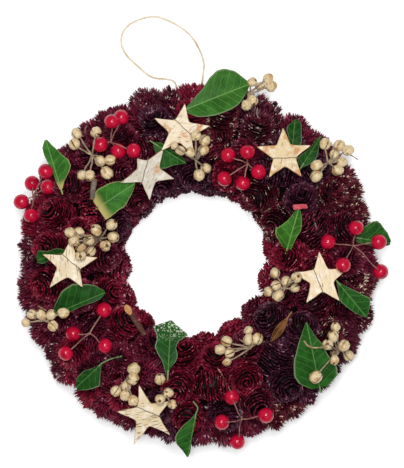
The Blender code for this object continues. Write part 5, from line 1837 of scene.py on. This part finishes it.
@dataclass
class Bits:
    """The stub, the cut stick, the chip of dyed bark and the loose thin twigs."""

    lift: float = 1.4 * MM
    # Name, tone, radius in mm, then the twig's points in mm
    loose: tuple = (
        ("grey_twig", "grey", 0.9, ((93.5, 43.5), (94.2, 37), (96, 30))),
        ("rim_twig", "tan", 0.9, ((-136.5, -30), (-130, -32.5), (-122, -36.5))),
        ("curled_twig_1", "tan", 0.7, ((86, -61), (90, -65.5), (97, -66.5), (104, -66), (111, -69))),
        ("curled_twig_2", "tan", 0.7, ((42.5, -67), (48, -63.5), (54, -62), (59, -64))),
        ("curled_twig_3", "tan", 0.6, ((40, -63), (35, -60.5), (31.5, -57), (33, -53))),
        ("curled_twig_4", "tan", 0.6, ((24, -78), (30, -78), (36, -76), (40, -71))),
        ("long_stem_1", "tan", 0.7, ((35.5, -108), (36.2, -116), (36, -124.5))),
        ("long_stem_2", "pink", 0.6, ((16, -82), (21, -90), (25, -98), (28, -103))),
        ("long_stem_3", "grey", 0.5, ((121, 90), (126.5, 87.5), (130, 85))),
        ("hooked_twig", "grey", 0.7, ((-87, 115), (-90, 111), (-90.5, 106), (-88.5, 100))),
    )

    def build(self) -> list[bpy.types.Object]:
        """Makes every twig and the chip."""
        grey = TwigFinish("weathered_twig", "#4e4138", "#8b7d70", 0.8, 0.85)
        stained = TwigFinish("stained_branch", "#43251d", "#7a5243", 1.0)
        tones = {"grey": grey, "tan": TwigFinish("dry_tan_twig", "#8a6c4c", "#c7ad88", 0.7, 0.75),
                 "pink": TwigFinish("dyed_twig", "#7c3f3c", "#c08d80", 0.8, 0.6)}
        pile = Surface([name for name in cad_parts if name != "hanging_twine"])
        made = [self.stub("twig_stub", (-82.5, 69), (-84.5, 53), 2.5, 0.4, grey),
                self.stub("cut_stick", (-55.5, -36), (-42.5, -56), 2.6, 1.6, stained)]
        for name, tone, radius, places in self.loose:
            points = []
            for x, y in places:
                spot = plan(x, y)
                spot.z = (pile.top(spot.x, spot.y) or 30 * MM) + self.lift
                points.append(spot)
            line = smooth_route(points, 1.2 * MM)
            bm = bmesh.new()
            radii = [radius * MM * (1.1 - 0.4 * k / len(line)) for k in range(len(line))]
            append(bm, rod(line, radii, 8))
            roughen(bm.verts, 1.8, 0.3)
            made.append(add_piece(name, bm, [tones[tone]], (), 60.0))
        made.append(self.chip())
        return made

    def stub(self, node: str, start: tuple[float, float], end: tuple[float, float], radius: float,
             slant: float, bark: TwigFinish) -> bpy.types.Object:
        """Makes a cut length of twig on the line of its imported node.

        Args:
            node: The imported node.
            start: One end in mm.
            end: The other end in mm.
            radius: Its radius in mm.
            slant: How far the cut at the first end runs along the twig, in its own heights.
            bark: Its bark.

        Returns:
            The twig's object.
        """
        surface = Surface([node])
        first, last = plan(*start), plan(*end)
        ends = []
        for share in (0.15, 0.85):
            spot = first.lerp(last, share)
            spot.z = surface.top(spot.x, spot.y) - radius * 0.9 * MM
            ends.append(spot)
        step = (ends[1] - ends[0]) / 0.7
        begin = ends[0] - step * 0.15
        line = [begin + step * k / 10 for k in range(11)]
        bm = bmesh.new()
        append(bm, rod(line, [radius * MM * (1 - 0.25 * k / 10) for k in range(11)], 14))
        bm.normal_update()
        caps = [face for face in bm.faces if abs(face.normal.dot(step.normalized())) > 0.8]
        for face in caps:
            face.material_index = 1
        bmesh.ops.inset_region(bm, faces=caps, thickness=0.35 * MM, depth=0.1 * MM)
        # A slanting cut leaves the first end looking upward
        for vert in bm.verts:
            share = max(0.0, 1 - (vert.co - begin).dot(step) / step.length_squared * 5)
            vert.co += step.normalized() * share * (vert.co - begin).dot(Vector((0, 0, slant)))
        roughen(bm.verts, 2.5, 0.5)
        wood = TwigFinish("cut_wood_end", "#a8703e", "#cf9c68", 0.5, 0.7)
        return add_piece(f"barked_{node}", bm, [bark, wood], [node], 50.0)

    def chip(self) -> bpy.types.Object:
        """Makes the chip of red-dyed bark, torn at its ends."""
        low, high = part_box("bark_chip")
        bm = bmesh.new()
        middle = (low + high) / 2
        size = Matrix.Diagonal((11 * MM, 4 * MM, 2 * MM, 1.0))
        place = Matrix.Translation(middle) @ Matrix.Rotation(0.07, 4, "Z") @ size
        bmesh.ops.create_cube(bm, size=1.0, matrix=place)
        bmesh.ops.bevel(bm, geom=bm.edges[:], offset=0.5 * MM, segments=2, profile=0.5, affect="EDGES",
                        material=-1)
        bmesh.ops.subdivide_edges(bm, edges=bm.edges[:], cuts=2, use_grid_fill=True)
        roughen(bm.verts, 3.0, 0.9)
        return add_piece("dyed_bark_chip", bm, [TwigFinish("red_dyed_bark", "#9c2230", "#d4606a", 1.2, 0.65)],
                         ["bark_chip"], 50.0)


# ---------------------------------------------------------------- studio

@dataclass
class Studio:
    """A white sweep, soft lights and a camera that looks straight down from far off."""

    view_centre: tuple[float, float] = (4.0, 25.0)      # mm from the ring's centre
    view_height: float = 377.4 * MM
    focus_height: float = 45 * MM
    distance: float = 6.0
    sensor: float = 36.0
    # Name, place and size in metres, and watts
    lights: tuple = (
        ("key_softbox", (0.0, 0.4, 1.8), (0.8, 0.7), 24.0),
        ("top_light", (-0.12, -0.08, 1.95), (0.22, 0.22), 9.0),
        ("fill_softbox", (0.5, -0.8, 1.4), (0.9, 0.9), 3.0),
    )
    sky: float = 0.16

    def build_camera(self) -> None:
        """Adds the camera, its long side filled by the view's height."""
        lens = self.sensor / 2 / (self.view_height / 2 / self.distance)
        camera = bpy.data.cameras.new("camera")
        camera.lens = lens
        camera.sensor_width = self.sensor
        camera.clip_end = 20.0
        made = bpy.data.objects.new("camera", camera)
        made.location = plan(*self.view_centre, self.focus_height + self.distance)
        bpy.context.scene.collection.objects.link(made)
        bpy.context.scene.camera = made

    def build(self) -> None:
        """Adds the floor, the lights and the pale surroundings."""
        bm = bmesh.new()
        bmesh.ops.create_grid(bm, x_segments=1, y_segments=1, size=3.0)
        mesh = bpy.data.meshes.new("floor")
        bm.to_mesh(mesh)
        bm.free()
        mesh.materials.append(PaperFinish("white_paper_sweep").material())
        floor = bpy.data.objects.new("floor", mesh)
        bpy.context.scene.collection.objects.link(floor)
        for name, place, size, watts in self.lights:
            lamp = bpy.data.lights.new(name, "AREA")
            lamp.shape = "RECTANGLE"
            lamp.size, lamp.size_y = size
            lamp.energy = watts
            made = bpy.data.objects.new(name, lamp)
            made.location = CENTRE + Vector(place)
            made.rotation_mode = "QUATERNION"
            made.rotation_quaternion = (-Vector(place)).to_track_quat("-Z", "Y")
            made.visible_camera = False
            bpy.context.scene.collection.objects.link(made)
        world = bpy.data.worlds.new("pale_room")
        world.use_nodes = True
        sky = world.node_tree.nodes["Background"]
        sky.inputs["Color"].default_value = linear("#ffffff")
        sky.inputs["Strength"].default_value = self.sky
        bpy.context.scene.world = world
        bpy.context.scene.view_settings.view_transform = "Standard"


# ---------------------------------------------------------------- the whole wreath

def main() -> None:
    """Builds every sub-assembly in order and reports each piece."""
    logging.basicConfig(level=logging.INFO, format="%(message)s")
    noise.seed_set(NOISE_SEED)
    studio = Studio()
    studio.build_camera()
    made = [HangingTwine().build()]
    made += WillowRing().build()
    made += GlueBeds().build()
    made += ScaledCones().build()
    made += BirchStars().build()
    made += Leaves().build()
    made += RedBerries().build()
    made += TallowNuts().build()
    made += Bits().build()
    studio.build()
    total = 0
    for piece in made:
        piece.data.calc_loop_triangles()
        total += len(piece.data.loop_triangles)
        LOG.info("%s: %d triangles", piece.name, len(piece.data.loop_triangles))
    LOG.info("%d pieces, %d triangles", len(made), total)


if __name__ == "__main__":
    main()
